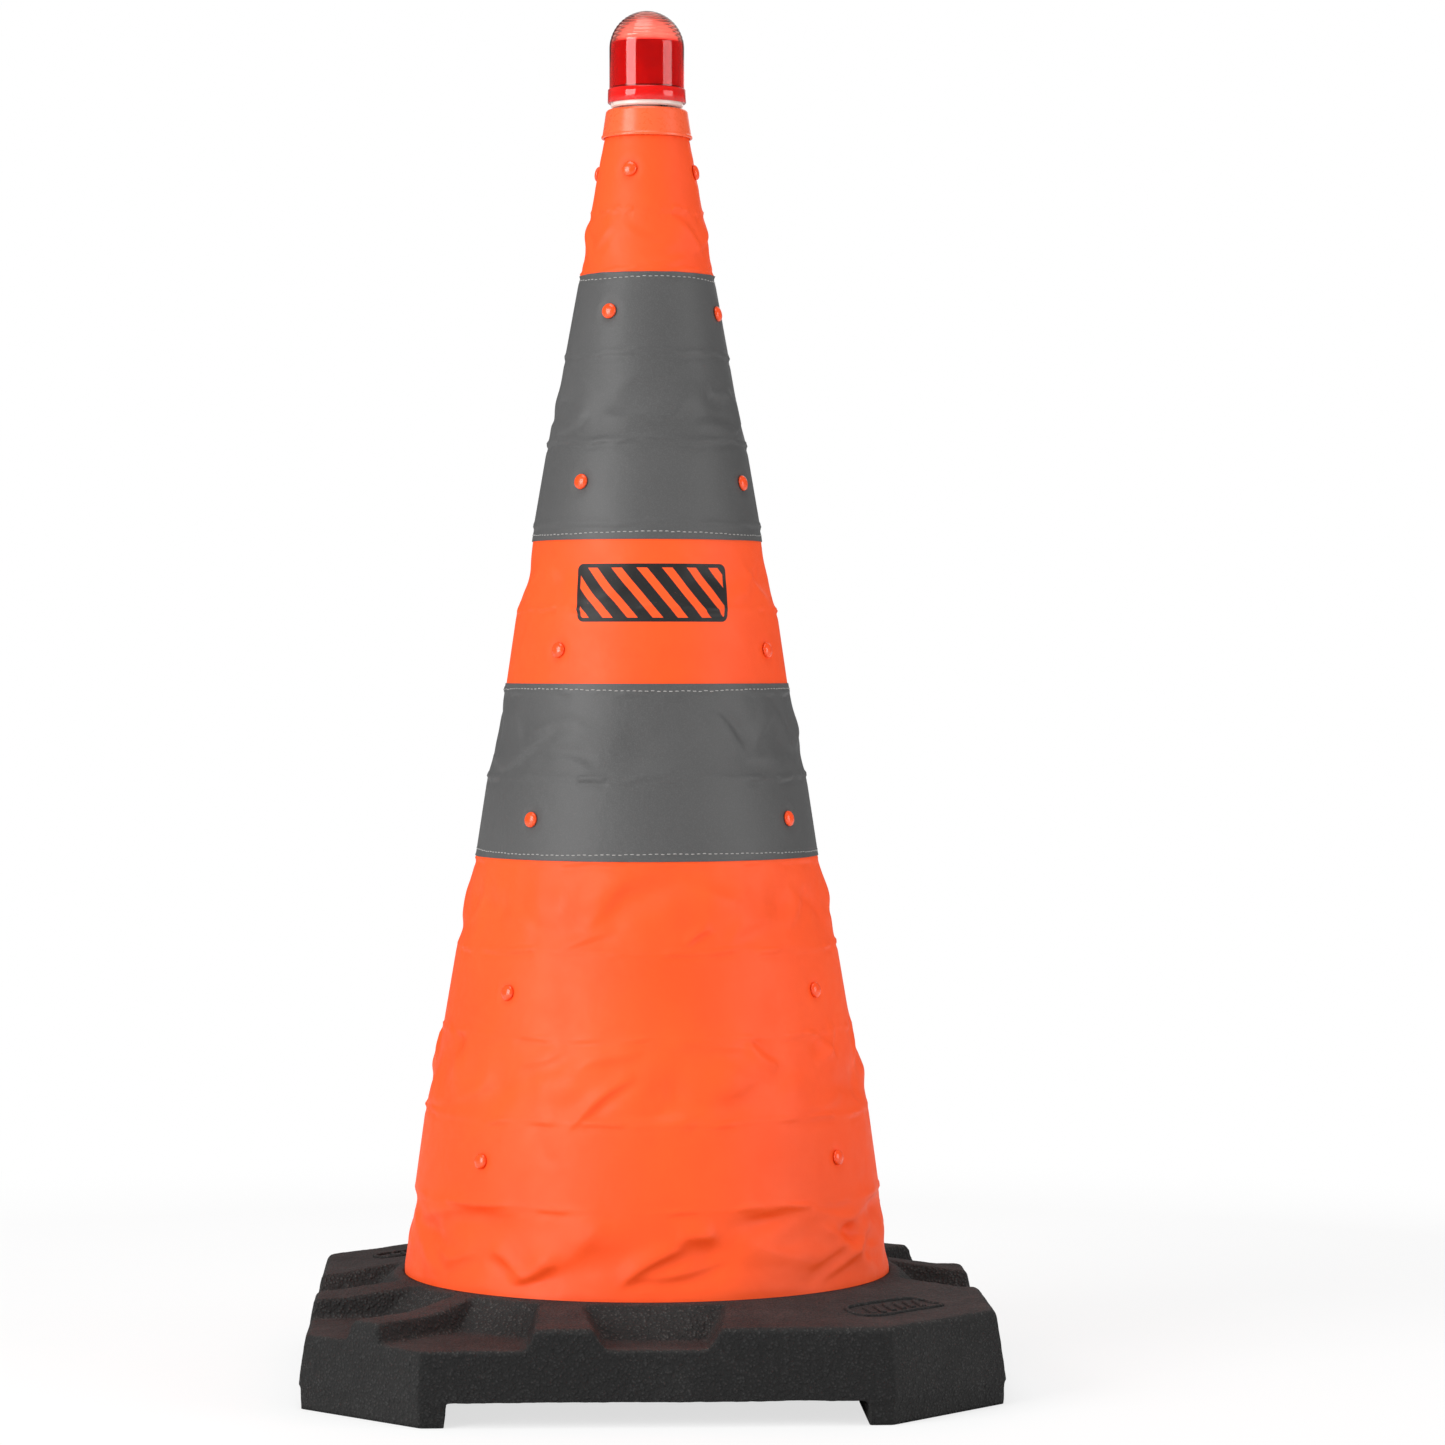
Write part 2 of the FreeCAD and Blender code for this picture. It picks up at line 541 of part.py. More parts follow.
# ------------------------------------------------------------ lifting spring
def coil_spring():
    """Conical coil with flat first and last turns."""
    turns = size("spring_turns")
    low_r, low_z = size("spring_low_r"), size("spring_low_z")
    gain_r, gain_z = size("spring_top_r") - low_r, size("spring_top_z") - low_z
    ease = 0.25                     # share of the climb that starts and ends gently
    steps = int(turns * 24)
    path = []
    for i in range(steps + 1):
        turn = turns * i / steps
        f = min(max((turn - 1.0) / (turns - 2.0), 0.0), 1.0)
        climb = f * f * (3 - 2 * f) * ease + f * (1.0 - ease)
        path.append(V(*on_circle(low_r + gain_r * f, 360.0 * turn), low_z + gain_z * climb))
    # the flat turns stop short of touching themselves
    path = path[2:-2]
    curve = Part.BSplineCurve()
    curve.interpolate(path)
    tangent = curve.tangent(curve.FirstParameter)[0]
    section = Part.Wire([Part.Circle(path[0], tangent, size("wire_r")).toShape()])
    pipe = Part.BRepOffsetAPI.MakePipeShell(Part.Wire([curve.toShape()]))
    pipe.setBiNormalMode(V(0, 0, 1))
    pipe.add(section)
    pipe.build()
    pipe.makeSolid()
    shape = pipe.shape()
    # the pipe may still come back as a shell
    if shape.ShapeType != "Solid":
        shape = Part.Solid(shape)
    keep(made("coil_spring", shape))


def spring_clips():
    clips = []
    half, floor = size("clip_width") / 2, size("tray_floor_z")
    for k, spin in enumerate(even_angles("clip_count")):
        block = box("clip_block_%d" % k, "clip_out_r - clip_in_r", "clip_width",
                    "clip_top_z - tray_floor_z - rest_gap",
                    V(size("clip_in_r"), -half, floor + size("rest_gap")), spin)
        tunnel = box("clip_tunnel_%d" % k, "clip_tunnel_out_r - clip_tunnel_in_r",
                     "clip_width + 2", "clip_tunnel_z - tray_floor_z + 1",
                     V(size("clip_tunnel_in_r"), -half - 1, floor - 1), spin)
        clips.append(cut("clip_bridge_%d" % k, block, tunnel))
    keep(group("spring_clips", clips))


# ------------------------------------------------------------ collar and socket
def collar_and_socket():
    keep(turned("top_collar", [
        ("collar_skirt_in_r", "collar_low_z"), ("collar_lip_r", "collar_low_z"),
        ("collar_lip_r", "collar_low_z + collar_lip_h"),
        ("collar_lip_r - collar_lip_step", "collar_low_z + collar_slope_h"),
        ("collar_top_r", "collar_top_z - collar_edge_h"),
        ("collar_top_r - collar_edge_w", "collar_top_z"),
        ("collar_bore_r", "collar_top_z"), ("collar_bore_r", "collar_plate_z"),
        ("collar_in_r", "collar_plate_z"), ("collar_in_r", "collar_low_z + collar_skirt_h"),
        ("collar_skirt_in_r", "collar_low_z + collar_skirt_h")]))
    keep(turned("lamp_socket", [
        ("socket_bore_r", "socket_low_z"), ("socket_flange_r", "socket_low_z"),
        ("socket_flange_r", "socket_low_z + socket_flange"),
        ("socket_r", "socket_low_z + socket_flange"),
        ("socket_r", "socket_top_z - socket_flange"),
        ("socket_flange_r", "socket_top_z - socket_flange"),
        ("socket_flange_r", "socket_top_z"), ("socket_bore_r", "socket_top_z")]))


# ------------------------------------------------------------ lamp
def lamp_stem():
    """Tube that plugs into the socket, with the hollow disc round its top."""
    stem = turned("lamp_stem_blank", [
        ("stem_bore_r", "stem_low_z"), ("stem_r", "stem_low_z"), ("stem_r", "seat_z"),
        ("seat_r", "seat_z"), ("seat_r", "disc_low_z"),
        ("disc_r - disc_chamfer", "disc_low_z"), ("disc_r", "disc_low_z + disc_chamfer"),
        ("disc_r", "disc_top_z"), ("disc_in_r", "disc_top_z"),
        ("disc_in_r", "disc_floor_z"), ("stem_r", "disc_floor_z"),
        ("stem_r", "tube_top_z"), ("stem_bore_r", "tube_top_z")])
    x, y = on_circle(size("button_circle_r"), size("button_angle"))
    hole = cylinder("button_hole", "button_hole_r", "disc_floor_z - disc_low_z + 4",
                    V(x, y, size("disc_low_z") - 2))
    keep(cut("lamp_stem", stem, hole))


def lamp_lens():
    rim = turned("lens_rim", [
        ("rim_in_r", "rim_low_z"), ("rim_r - rim_low_chamfer", "rim_low_z"),
        ("rim_r", "rim_low_z + rim_low_chamfer"), ("rim_r", "rim_top_z - rim_top_chamfer"),
        ("rim_r - rim_top_chamfer", "rim_top_z"), ("lens_r - lens_wall", "rim_top_z"),
        ("lens_r - lens_wall", "lens_seat_z"), ("rim_in_r", "lens_seat_z")])
    low = V(0, 0, size("rim_top_z"))
    dome_centre = low + V(0, 0, size("lens_straight"))
    outside = fuse("lens_outside", rim,
                   cylinder("lens_outer_wall", "lens_r", "lens_straight", low),
                   sphere("lens_outer_dome", "lens_r", dome_centre))
    inside = fuse("lens_inside",
                  cylinder("lens_inner_wall", "lens_r - lens_wall", "lens_straight + 2",
                           low - V(0, 0, 2)),
                  sphere("lens_inner_dome", "lens_r - lens_wall", dome_centre))
    keep(cut("lamp_lens", outside, inside))


def switch():
    keep(ring("switch_board", "board_in_r", "board_r", "board_z", "board_z + board_h"))
    half = size("tact_size") / 2
    keep(box("tactile_switch", "tact_size", "tact_size", "board_z - tact_low_z - rest_gap",
             V(size("button_circle_r") - half, -half, size("tact_low_z")),
             size("button_angle")))
    x, y = on_circle(size("button_circle_r"), size("button_angle"))
    keep(fuse("switch_button",
              cylinder("button_pin", "button_r", "button_top_z - button_low_z",
                       V(x, y, size("button_low_z"))),
              cylinder("button_keeper", "button_keeper_r", "button_keeper_h",
                       V(x, y, size("keeper_z")))))


def light_source():
    plate_top = "led_plate_z + led_plate_h"
    keep(ring("led_plate", "0", "led_plate_r", "led_plate_z", plate_top))
    leds = []
    for k, angle in enumerate(even_angles("led_count")):
        foot = V(*on_circle(size("led_circle_r"), angle), total(plate_top + " + rest_gap"))
        leds.append(fuse("led_%d" % k,
                         cylinder("led_%d_body" % k, "led_r", "led_straight", foot),
                         sphere("led_%d_dome" % k, "led_r",
                                foot + V(0, 0, size("led_straight")))))
    keep(group("leds", leds))
    keep(turned("inner_optic", [
        ("optic_r - optic_wall", "optic_low_z"), ("optic_r", "optic_low_z"),
        ("optic_r", "optic_top_z"), ("0", "optic_top_z"), ("0", "optic_top_z - optic_top_h"),
        ("optic_r - optic_wall", "optic_top_z - optic_top_h")]))


def batteries():
    """Two cells side by side, the -X one nub up and the +X one nub down."""
    low, offset = size("cell_low_z"), size("cell_offset")
    cells = []
    for k, (x, can_z, nub_z) in enumerate(((-offset, low, low + size("cell_body")),
                                           (offset, low + size("cell_nub"), low))):
        cells.append(fuse("cell_%d" % k,
                          cylinder("cell_%d_can" % k, "cell_r", "cell_body", V(x, 0, can_z)),
                          cylinder("cell_%d_nub" % k, "cell_nub_r", "cell_nub",
                                   V(x, 0, nub_z))))
    keep(group("battery_cells", cells))
    keep(ring("contact_plate", "0", "contact_r", "contact_z", "contact_z + contact_h"))
    keep(ring("cap_contact", "0", "cap_contact_r", "cap_contact_z",
              "cap_contact_z + contact_h"))


def battery_cap():
    cap = turned("battery_cap_blank", [
        ("0", "cap_low_z"), ("stem_r - cap_chamfer", "cap_low_z"),
        ("stem_r", "cap_low_z + cap_chamfer"), ("stem_r", "cap_top_z"),
        ("cap_plug_r", "cap_top_z"), ("cap_plug_r", "cap_plug_z"), ("0", "cap_plug_z")])
    slot = box("cap_slot", "cap_slot_l", "cap_slot_w", "cap_slot_d + 1",
               V(-size("cap_slot_l") / 2, -size("cap_slot_w") / 2, size("cap_low_z") - 1))
    keep(cut("battery_cap", cap, slot))


# ------------------------------------------------------------ build and write
base_moulding()
tray_and_screws()
keep(ring("sleeve_hem", "hem_in_r", "hem_out_r", "hem_low_z", "hem_top_z"))
for n in range(1, len(HOOPS) + 1):
    hoop_set(n)
folds()
coil_spring()
spring_clips()
collar_and_socket()
lamp_stem()
lamp_lens()
switch()
light_source()
batteries()
battery_cap()

doc.recompute()
for obj in doc.Objects:
    if "Invalid" in obj.State or "Error" in obj.State:
        raise RuntimeError("%s did not rebuild: %s" % (obj.Label, obj.State))
os.makedirs("parts", exist_ok=True)
for obj in nodes:
    shape = obj.Shape
    if shape.isNull() or not shape.isValid() or not shape.Solids:
        raise RuntimeError("%s has no valid solid" % obj.Label)
for obj in nodes:
    obj.Shape.exportStep("parts/%s.step" % obj.Label)
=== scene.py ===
# Collapsible cone: an orange cloth sleeve on seven hoops, a square rubber base and a red lamp on
# top. It stands on the floor at z = 0 with its axis on Z and its front towards -Y.
import math
import bmesh
import bpy
import numpy as np
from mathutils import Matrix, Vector, noise
from mathutils.bvhtree import BVHTree


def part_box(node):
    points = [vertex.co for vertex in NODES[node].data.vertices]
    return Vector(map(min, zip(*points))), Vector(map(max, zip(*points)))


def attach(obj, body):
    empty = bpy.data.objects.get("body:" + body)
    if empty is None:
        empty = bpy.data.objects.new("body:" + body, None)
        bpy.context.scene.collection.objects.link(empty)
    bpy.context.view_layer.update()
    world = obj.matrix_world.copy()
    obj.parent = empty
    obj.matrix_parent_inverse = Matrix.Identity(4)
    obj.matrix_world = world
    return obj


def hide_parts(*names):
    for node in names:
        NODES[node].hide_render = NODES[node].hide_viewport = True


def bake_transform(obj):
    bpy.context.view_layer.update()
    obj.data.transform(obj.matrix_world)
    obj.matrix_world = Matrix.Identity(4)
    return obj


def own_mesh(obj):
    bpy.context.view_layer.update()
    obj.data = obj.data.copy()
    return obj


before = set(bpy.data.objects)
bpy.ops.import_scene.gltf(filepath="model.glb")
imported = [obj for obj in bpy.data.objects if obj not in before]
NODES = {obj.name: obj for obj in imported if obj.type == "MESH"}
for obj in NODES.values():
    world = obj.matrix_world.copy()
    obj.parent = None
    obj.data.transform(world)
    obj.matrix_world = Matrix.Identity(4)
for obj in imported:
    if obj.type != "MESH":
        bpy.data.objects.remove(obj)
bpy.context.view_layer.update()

MM = 0.001
TAU = math.tau
FRONT = -math.pi / 2
SCENE = bpy.context.scene
RNG = np.random.RandomState(7)

# Reflective bands round the sleeve: lower and upper edge, and how far they stand off it.
BAND_LOW, BAND_HIGH = (0.291, 0.3875), (0.467, 0.616)
BAND_LIFT = 0.55 * MM
BAND_THICK = 0.5 * MM
CLOTH_THICK = 0.8 * MM

ORANGE = (0.98, 0.086, 0.0125)
GREY = (0.074, 0.074, 0.074)
RUBBER = (0.0135, 0.0133, 0.0133)


# ---------------------------------------------------------------- shader kit
class Graph:
    """Short ways to add and link the shader nodes of a material or a world."""

    def __init__(self, owner):
        owner.use_nodes = True
        self.tree = owner.node_tree

    def put(self, socket, value):
        if isinstance(value, bpy.types.NodeSocket):
            self.tree.links.new(value, socket)
        elif isinstance(value, tuple) and socket.type == "RGBA":
            socket.default_value = (*value, 1)
        elif value is not None:
            socket.default_value = value

    def fill(self, node, named):
        for name, value in named.items():
            self.put(node.inputs[name.replace("_", " ")], value)

    def add(self, kind, *values, settings=None, **named):
        """New node: values fill its first sockets in order, named ones go by socket name."""
        node = self.tree.nodes.new("ShaderNode" + kind)
        for name, value in (settings or {}).items():
            setattr(node, name, value)
        for socket, value in zip(node.inputs, values):
            self.put(socket, value)
        self.fill(node, named)
        return node

    def coord(self):
        return self.add("TexCoord").outputs["Object"]

    def rest(self):
        return self.add("Attribute", settings={"attribute_name": "rest"}).outputs["Vector"]

    def uv(self):
        return self.add("UVMap", settings={"uv_map": "cloth"}).outputs["UV"]

    def normal(self):
        return self.split(self.add("NewGeometry").outputs["Normal"])

    def facing(self):
        return self.add("LayerWeight", Blend=0.5).outputs["Facing"]

    def noise(self, place, scale, detail=4, rough=0.55, dist=0.0):
        return self.add("TexNoise", place, Scale=scale, Detail=detail, Roughness=rough,
                        Distortion=dist).outputs["Fac"]

    def voronoi(self, place, scale):
        return self.add("TexVoronoi", place, Scale=scale).outputs["Distance"]

    def calc(self, operation, first, second=0.5, third=0.0):
        return self.add("Math", first, second, third,
                        settings={"operation": operation}).outputs[0]

    def times(self, first, second):
        return self.calc("MULTIPLY", first, second)

    def plus(self, first, second):
        return self.calc("ADD", first, second)

    def ramp(self, fac, span, to=(0.0, 1.0), smooth=False):
        kind = "SMOOTHSTEP" if smooth else "LINEAR"
        return self.add("MapRange", fac, *span, *to,
                        settings={"interpolation_type": kind}).outputs[0]

    def mix(self, fac, low, high, kind="RGBA"):
        node = self.add("Mix", fac, settings={"data_type": kind})
        first, result = {"RGBA": (6, 2), "FLOAT": (2, 0)}[kind]
        self.put(node.inputs[first], low)
        self.put(node.inputs[first + 1], high)
        return node.outputs[result]

    def vary(self, fac, low, high, span=(0.3, 0.7)):
        """Colour that runs from low to high as fac crosses the span."""
        return self.mix(self.ramp(fac, span), low, high)

    def stain(self, color, stained, fac, span, most):
        """Colour that takes on up to `most` of another as fac crosses the span."""
        return self.mix(self.ramp(fac, span, to=(0.0, most)), color, stained)

    def split(self, vector):
        return self.add("SeparateXYZ", vector).outputs

    def scaled(self, vector, *scale):
        return self.add("Mapping", vector, Scale=scale).outputs[0]

    def bump(self, height, dist, strength=1.0, normal=None):
        return self.add("Bump", Strength=strength, Distance=dist, Height=height,
                        Normal=normal).outputs[0]


class Mat(Graph):
    def __init__(self, name):
        self.material = bpy.data.materials.new(name)
        super().__init__(self.material)
        self.principled = self.tree.nodes["Principled BSDF"]

    def set(self, **named):
        self.fill(self.principled, named)


def tint(color, factor):
    return tuple(min(1.0, max(0.0, v * factor)) for v in color)


# ---------------------------------------------------------------- materials
def weave(mat, cloth_uv, pitch):
    """Plain weave height: warp and weft threads taking turns on top."""
    per_metre = 1.0 / pitch
    across, up, _ = mat.split(mat.scaled(cloth_uv, per_metre, per_metre, 1))
    warp, weft = [mat.calc("ABSOLUTE", mat.calc("SINE", mat.times(way, math.pi)))
                  for way in (across, up)]
    cell = mat.plus(mat.calc("FLOOR", across), mat.calc("FLOOR", up))
    check = mat.calc("ABSOLUTE", mat.calc("MODULO", cell, 2.0))
    return mat.mix(check, warp, weft, kind="FLOAT")


def hazard_ink(mat, rest, cloth_uv):
    """Ink of the printed panel: a rounded block with slanting stripes left bare."""
    middle, halves = (1.5, 437.5), (44.0, 16.0)    # mm: round the front and up, half-sizes
    corner, corner_rim, edge_rim = 4.0, 1.8, 2.2   # mm: corner radius, where the rim begins
    stripe_run, stripe_rise, bare = 14.0, 17.0, 0.42   # mm pitches, bare share of a pitch
    across, up, _ = mat.split(cloth_uv)
    sides = [mat.calc("ABSOLUTE", mat.calc("DIVIDE", mat.calc("SUBTRACT", way, mid * MM), half * MM))
             for way, mid, half in zip((across, up), middle, halves)]
    sides = list(zip(sides, halves))
    beyond = [mat.calc("MAXIMUM", mat.calc("SUBTRACT", mat.times(side, half), half - corner), 0.0)
              for side, half in sides]
    dist = mat.calc("SQRT", mat.plus(*[mat.times(part, part) for part in beyond]))
    inside = mat.calc("LESS_THAN", dist, corner)
    rim = mat.calc("GREATER_THAN", dist, corner_rim)
    edges = [mat.calc("GREATER_THAN", mat.times(side, half), half - edge_rim)
             for side, half in sides]
    rim = mat.calc("MAXIMUM", rim, mat.calc("MAXIMUM", *edges))
    slant = mat.plus(mat.times(across, 1000.0 / stripe_run), mat.times(up, 1000.0 / stripe_rise))
    stripe = mat.calc("LESS_THAN", mat.calc("FRACT", slant), bare)
    ink = mat.times(inside, mat.calc("MAXIMUM", rim, mat.calc("SUBTRACT", 1.0, stripe)))
    wear = mat.noise(rest, scale=900, rough=0.7)
    return mat.times(ink, mat.ramp(wear, (0.68, 0.72), to=(1.0, 0.75)))


def orange_cloth(printed=False):
    mat = Mat("orange_cloth_print" if printed else "orange_cloth")
    rest, cloth_uv = mat.rest(), mat.uv()
    broad = mat.noise(rest, scale=11, detail=3, rough=0.5)
    mid = mat.noise(rest, scale=55, rough=0.6, dist=0.6)
    color = mat.vary(broad, tint(ORANGE, 0.94), (1.0, 0.100, 0.016))
    color = mat.stain(color, (0.92, 0.070, 0.010), mid, span=(0.35, 0.75), most=0.30)
    threads = weave(mat, cloth_uv, pitch=0.55 * MM)
    gaps = mat.ramp(threads, (0.0, 0.35), to=(0.22, 0.0))
    color = mat.mix(gaps, color, (0.72, 0.055, 0.009))
    dirt = mat.noise(rest, scale=160, detail=5, rough=0.7)
    color = mat.stain(color, (0.5, 0.07, 0.03), dirt, span=(0.66, 0.82), most=0.18)
    height = mat.plus(mat.times(threads, 0.25), mat.times(mid, 0.6))
    rough = mat.ramp(mid, (0.3, 0.75), to=(0.42, 0.56))
    if printed:
        # ink is near black, a little smoother than the cloth and stands on it
        ink = hazard_ink(mat, rest, cloth_uv)
        color = mat.mix(ink, color, (0.019, 0.018, 0.018))
        rough = mat.plus(rough, mat.times(ink, -0.06))
        height = mat.plus(height, mat.times(ink, 0.35))
    drape = mat.noise(rest, scale=44, detail=3, dist=0.4)
    mat.set(
        Base_Color=color,
        Roughness=rough,
        # the coating is matt, so it keeps its colour where it turns away
        Specular_IOR_Level=mat.ramp(mat.facing(), (0.45, 0.85), to=(0.24, 0.10), smooth=True),
        Normal=mat.bump(height, dist=0.25 * MM, strength=0.35,
                        normal=mat.bump(drape, dist=1.3 * MM, strength=0.4)))
    return mat.material


def reflective_cloth():
    mat = Mat("reflective_cloth")
    rest = mat.rest()
    broad = mat.noise(rest, scale=14, detail=3, rough=0.5)
    fine = mat.noise(rest, scale=1400, detail=3, rough=0.6)
    mid = mat.noise(rest, scale=90, detail=5, rough=0.65, dist=0.8)
    color = mat.vary(broad, tint(GREY, 0.93), tint(GREY, 1.08))
    color = mat.stain(color, tint(GREY, 1.5), fine, span=(0.45, 0.7), most=0.5)
    color = mat.stain(color, tint(GREY, 0.6), mid, span=(0.66, 0.8), most=0.3)
    beads = mat.voronoi(mat.scaled(rest, 1, 1, 1), scale=2200)
    height = mat.plus(mat.times(beads, 0.3), mat.times(mid, 0.7))
    drape = mat.noise(rest, scale=60, detail=3, rough=0.6, dist=0.6)
    mat.set(Base_Color=color,
            Roughness=mat.ramp(fine, (0.3, 0.7), to=(0.44, 0.6)),
            Specular_IOR_Level=0.34,
            Normal=mat.bump(height, dist=0.2 * MM, strength=0.35,
                            normal=mat.bump(drape, dist=1.1 * MM, strength=0.4)))
    return mat.material


def pebbled_rubber():
    mat = Mat("pebbled_rubber")
    place = mat.coord()
    cells = mat.voronoi(place, scale=560)
    grit = mat.noise(place, scale=800, rough=0.7)
    lumpy = mat.noise(place, scale=240, rough=0.6)
    # height of the pebbled skin: cells, grit and lumps by their shares
    pebble = mat.plus(mat.times(mat.calc("SUBTRACT", 1.0, cells), 0.55),
                      mat.plus(mat.times(grit, 0.35), mat.times(lumpy, 0.45)))
    facing_up = mat.normal()[2]
    up = mat.ramp(facing_up, (0.2, 0.75), smooth=True)
    flat = mat.ramp(facing_up, (0.80, 0.985), smooth=True)
    color = mat.vary(pebble, tint(RUBBER, 0.55), tint(RUBBER, 1.6), span=(0.72, 1.02))
    # what faces up turns lighter, in patches, and reddish where it is flat
    up_tone = mat.noise(place, scale=26, detail=5, rough=0.65)
    up_tone = mat.times(up, mat.ramp(up_tone, (0.3, 0.75), to=(0.35, 1.0)))
    red = mat.vary(mat.noise(place, scale=60, rough=0.6),
                   (0.050, 0.040, 0.039), (0.072, 0.051, 0.048), span=(0.35, 0.65))
    grain = mat.vary(pebble, (0.030, 0.029, 0.028), (0.130, 0.126, 0.120), span=(0.72, 1.05))
    up_tone_colour = mat.mix(flat, grain, red)
    color = mat.mix(mat.times(up_tone, 0.8), color, up_tone_colour)
    # pale specks in patches
    speck = mat.ramp(mat.voronoi(place, scale=330), (0.05, 0.16), to=(1.0, 0.0))
    speck = mat.times(speck, mat.ramp(mat.noise(place, scale=35, detail=2), (0.55, 0.7)))
    color = mat.mix(mat.times(speck, 0.28), color, (0.12, 0.115, 0.11))
    scuff = mat.noise(place, scale=10, detail=5, rough=0.68, dist=0.5)
    scuff = mat.ramp(scuff, (0.52, 0.74), to=(0.0, 0.32))
    scuff = mat.times(scuff, mat.ramp(pebble, (0.7, 1.05), to=(0.3, 1.0)))
    color = mat.mix(scuff, color, (0.075, 0.072, 0.070))
    # painted light: the upright cut corner faces, which the side lights catch, are painted lighter,
    # in patches
    side = mat.normal()
    corner = mat.calc("ABSOLUTE", mat.times(side[0], side[1]))
    corner = mat.ramp(corner, (0.30, 0.47), to=(0.0, 0.5), smooth=True)
    patches = mat.noise(place, scale=18, rough=0.6)
    corner = mat.times(corner, mat.ramp(patches, (0.3, 0.7), to=(0.5, 1.0)))
    corner_painted_light = mat.vary(pebble, (0.026, 0.0255, 0.025), (0.060, 0.059, 0.058), span=(0.72, 1.05))
    mat.set(Base_Color=mat.mix(corner, color, corner_painted_light),
            Roughness=mat.ramp(pebble, (0.7, 1.05), to=(0.86, 0.62)),
            Specular_IOR_Level=0.36,
            Normal=mat.bump(pebble, dist=1.9 * MM,
                            normal=mat.bump(lumpy, dist=1.8 * MM, strength=0.6)))
    return mat.material


def plastic(name, color, rough, grain, sss=0.0, spec=0.5, vary=0.1, coat=0.0):
    mat = Mat(name)
    place = mat.coord()
    broad = mat.noise(place, scale=60, detail=3, rough=0.5)
    fine = mat.noise(place, scale=grain, rough=0.6)
    base = mat.vary(broad, tint(color, 1 - vary), tint(color, 1 + vary))
    base = mat.stain(base, tint(color, 0.7), fine, span=(0.62, 0.8), most=0.25)
    mat.set(Base_Color=base,
            Roughness=mat.ramp(fine, (0.3, 0.7), to=(rough - 0.06, rough + 0.1)),
            Specular_IOR_Level=spec,
            Normal=mat.bump(fine, dist=0.08 * MM, strength=0.3))
    if sss:
        mat.set(Subsurface_Weight=sss, Subsurface_Radius=(0.004, 0.003, 0.002),
                Subsurface_Scale=0.5)
    if coat:
        mat.set(Coat_Weight=coat, Coat_Roughness=0.08)
    return mat.material


def metal(name, color, rough, drawn=(1, 1, 40)):
    """Metal with fine lines, squeezed along each axis by drawn."""
    mat = Mat(name)
    place = mat.coord()
    lines = mat.noise(mat.scaled(place, *drawn), scale=400, rough=0.6)
    broad = mat.noise(place, scale=45, detail=3, rough=0.5)
    base = mat.vary(broad, tint(color, 0.82), tint(color, 1.1))
    mat.set(Base_Color=mat.stain(base, tint(color, 0.55), lines, span=(0.55, 0.8), most=0.4),
            Metallic=1.0,
            Roughness=mat.ramp(lines, (0.3, 0.7), to=(rough - 0.08, rough + 0.14)),
            Normal=mat.bump(lines, dist=0.05 * MM, strength=0.3))
    return mat.material


def red_lens():
    mat = Mat("red_lens")
    place = mat.coord()
    z = mat.split(place)[2]
    swirl = mat.noise(place, scale=70, detail=3, rough=0.5, dist=1.0)
    body = mat.vary(swirl, (0.80, 0.012, 0.008), (0.88, 0.022, 0.014))
    dome = mat.vary(swirl, (0.88, 0.35, 0.29), (0.93, 0.42, 0.35))
    # the dome is thin moulded wall, below it the red optic sits close behind
    color = mat.mix(mat.ramp(z, (0.7462, 0.7492), smooth=True), body, dome)
    rim = mat.ramp(z, (0.7205, 0.7215), to=(1.0, 0.0))
    color = mat.mix(rim, color, mat.vary(swirl, (0.98, 0.012, 0.010), (1.0, 0.022, 0.016)))
    facing = mat.facing()
    edge = mat.ramp(facing, (0.57, 0.76), smooth=True)
    edge = mat.times(edge, mat.ramp(z, (0.726, 0.742), to=(0.35, 1.0), smooth=True))
    # painted shade: the dome's shoulders turn a duller, darker red where they face away from the
    # camera
    shoulder_painted_shade = mat.ramp(facing, (0.12, 0.62), to=(0.0, 0.45), smooth=True)
    shoulder_painted_shade = mat.times(shoulder_painted_shade, mat.ramp(z, (0.744, 0.750), to=(0.25, 1.0)))
    color = mat.mix(shoulder_painted_shade, color, (0.62, 0.10, 0.08))
    # painted shade: the colour is painted dark and the wall made hardly clear where it is seen edge
    # on
    clearness = mat.ramp(edge, (0.0, 1.0), to=(0.95, 0.12))
    mat.set(Base_Color=mat.mix(edge, color, (0.06, 0.004, 0.004)),
            Roughness=mat.ramp(mat.noise(place, scale=400, detail=3), (0.3, 0.7), to=(0.03, 0.08)),
            IOR=1.46,
            Transmission_Weight=mat.times(clearness, mat.ramp(rim, (0.0, 1.0), to=(1.0, 0.5))),
            Specular_IOR_Level=mat.ramp(edge, (0.0, 1.0), to=(0.62, 0.10)))
    return mat.material


def led_resin():
    mat = Mat("led_resin")
    color = (0.95, 0.93, 0.9)
    swirl = mat.noise(mat.coord(), scale=120, detail=3, rough=0.5)
    mat.set(Base_Color=mat.vary(swirl, tint(color, 0.9), color),
            Roughness=mat.ramp(swirl, (0.3, 0.7), to=(0.08, 0.16)),
            IOR=1.5,
            Transmission_Weight=0.85)
    return mat.material


def stitch_thread():
    mat = Mat("stitch_thread")
    twist = mat.noise(mat.coord(), scale=2500, detail=3, rough=0.6)
    mat.set(Base_Color=mat.vary(twist, (0.25, 0.245, 0.235), (0.42, 0.41, 0.39)),
            Roughness=mat.ramp(twist, (0.3, 0.7), to=(0.6, 0.8)),
            Sheen_Weight=0.3,
            Normal=mat.bump(twist, dist=0.1 * MM, strength=0.4))
    return mat.material


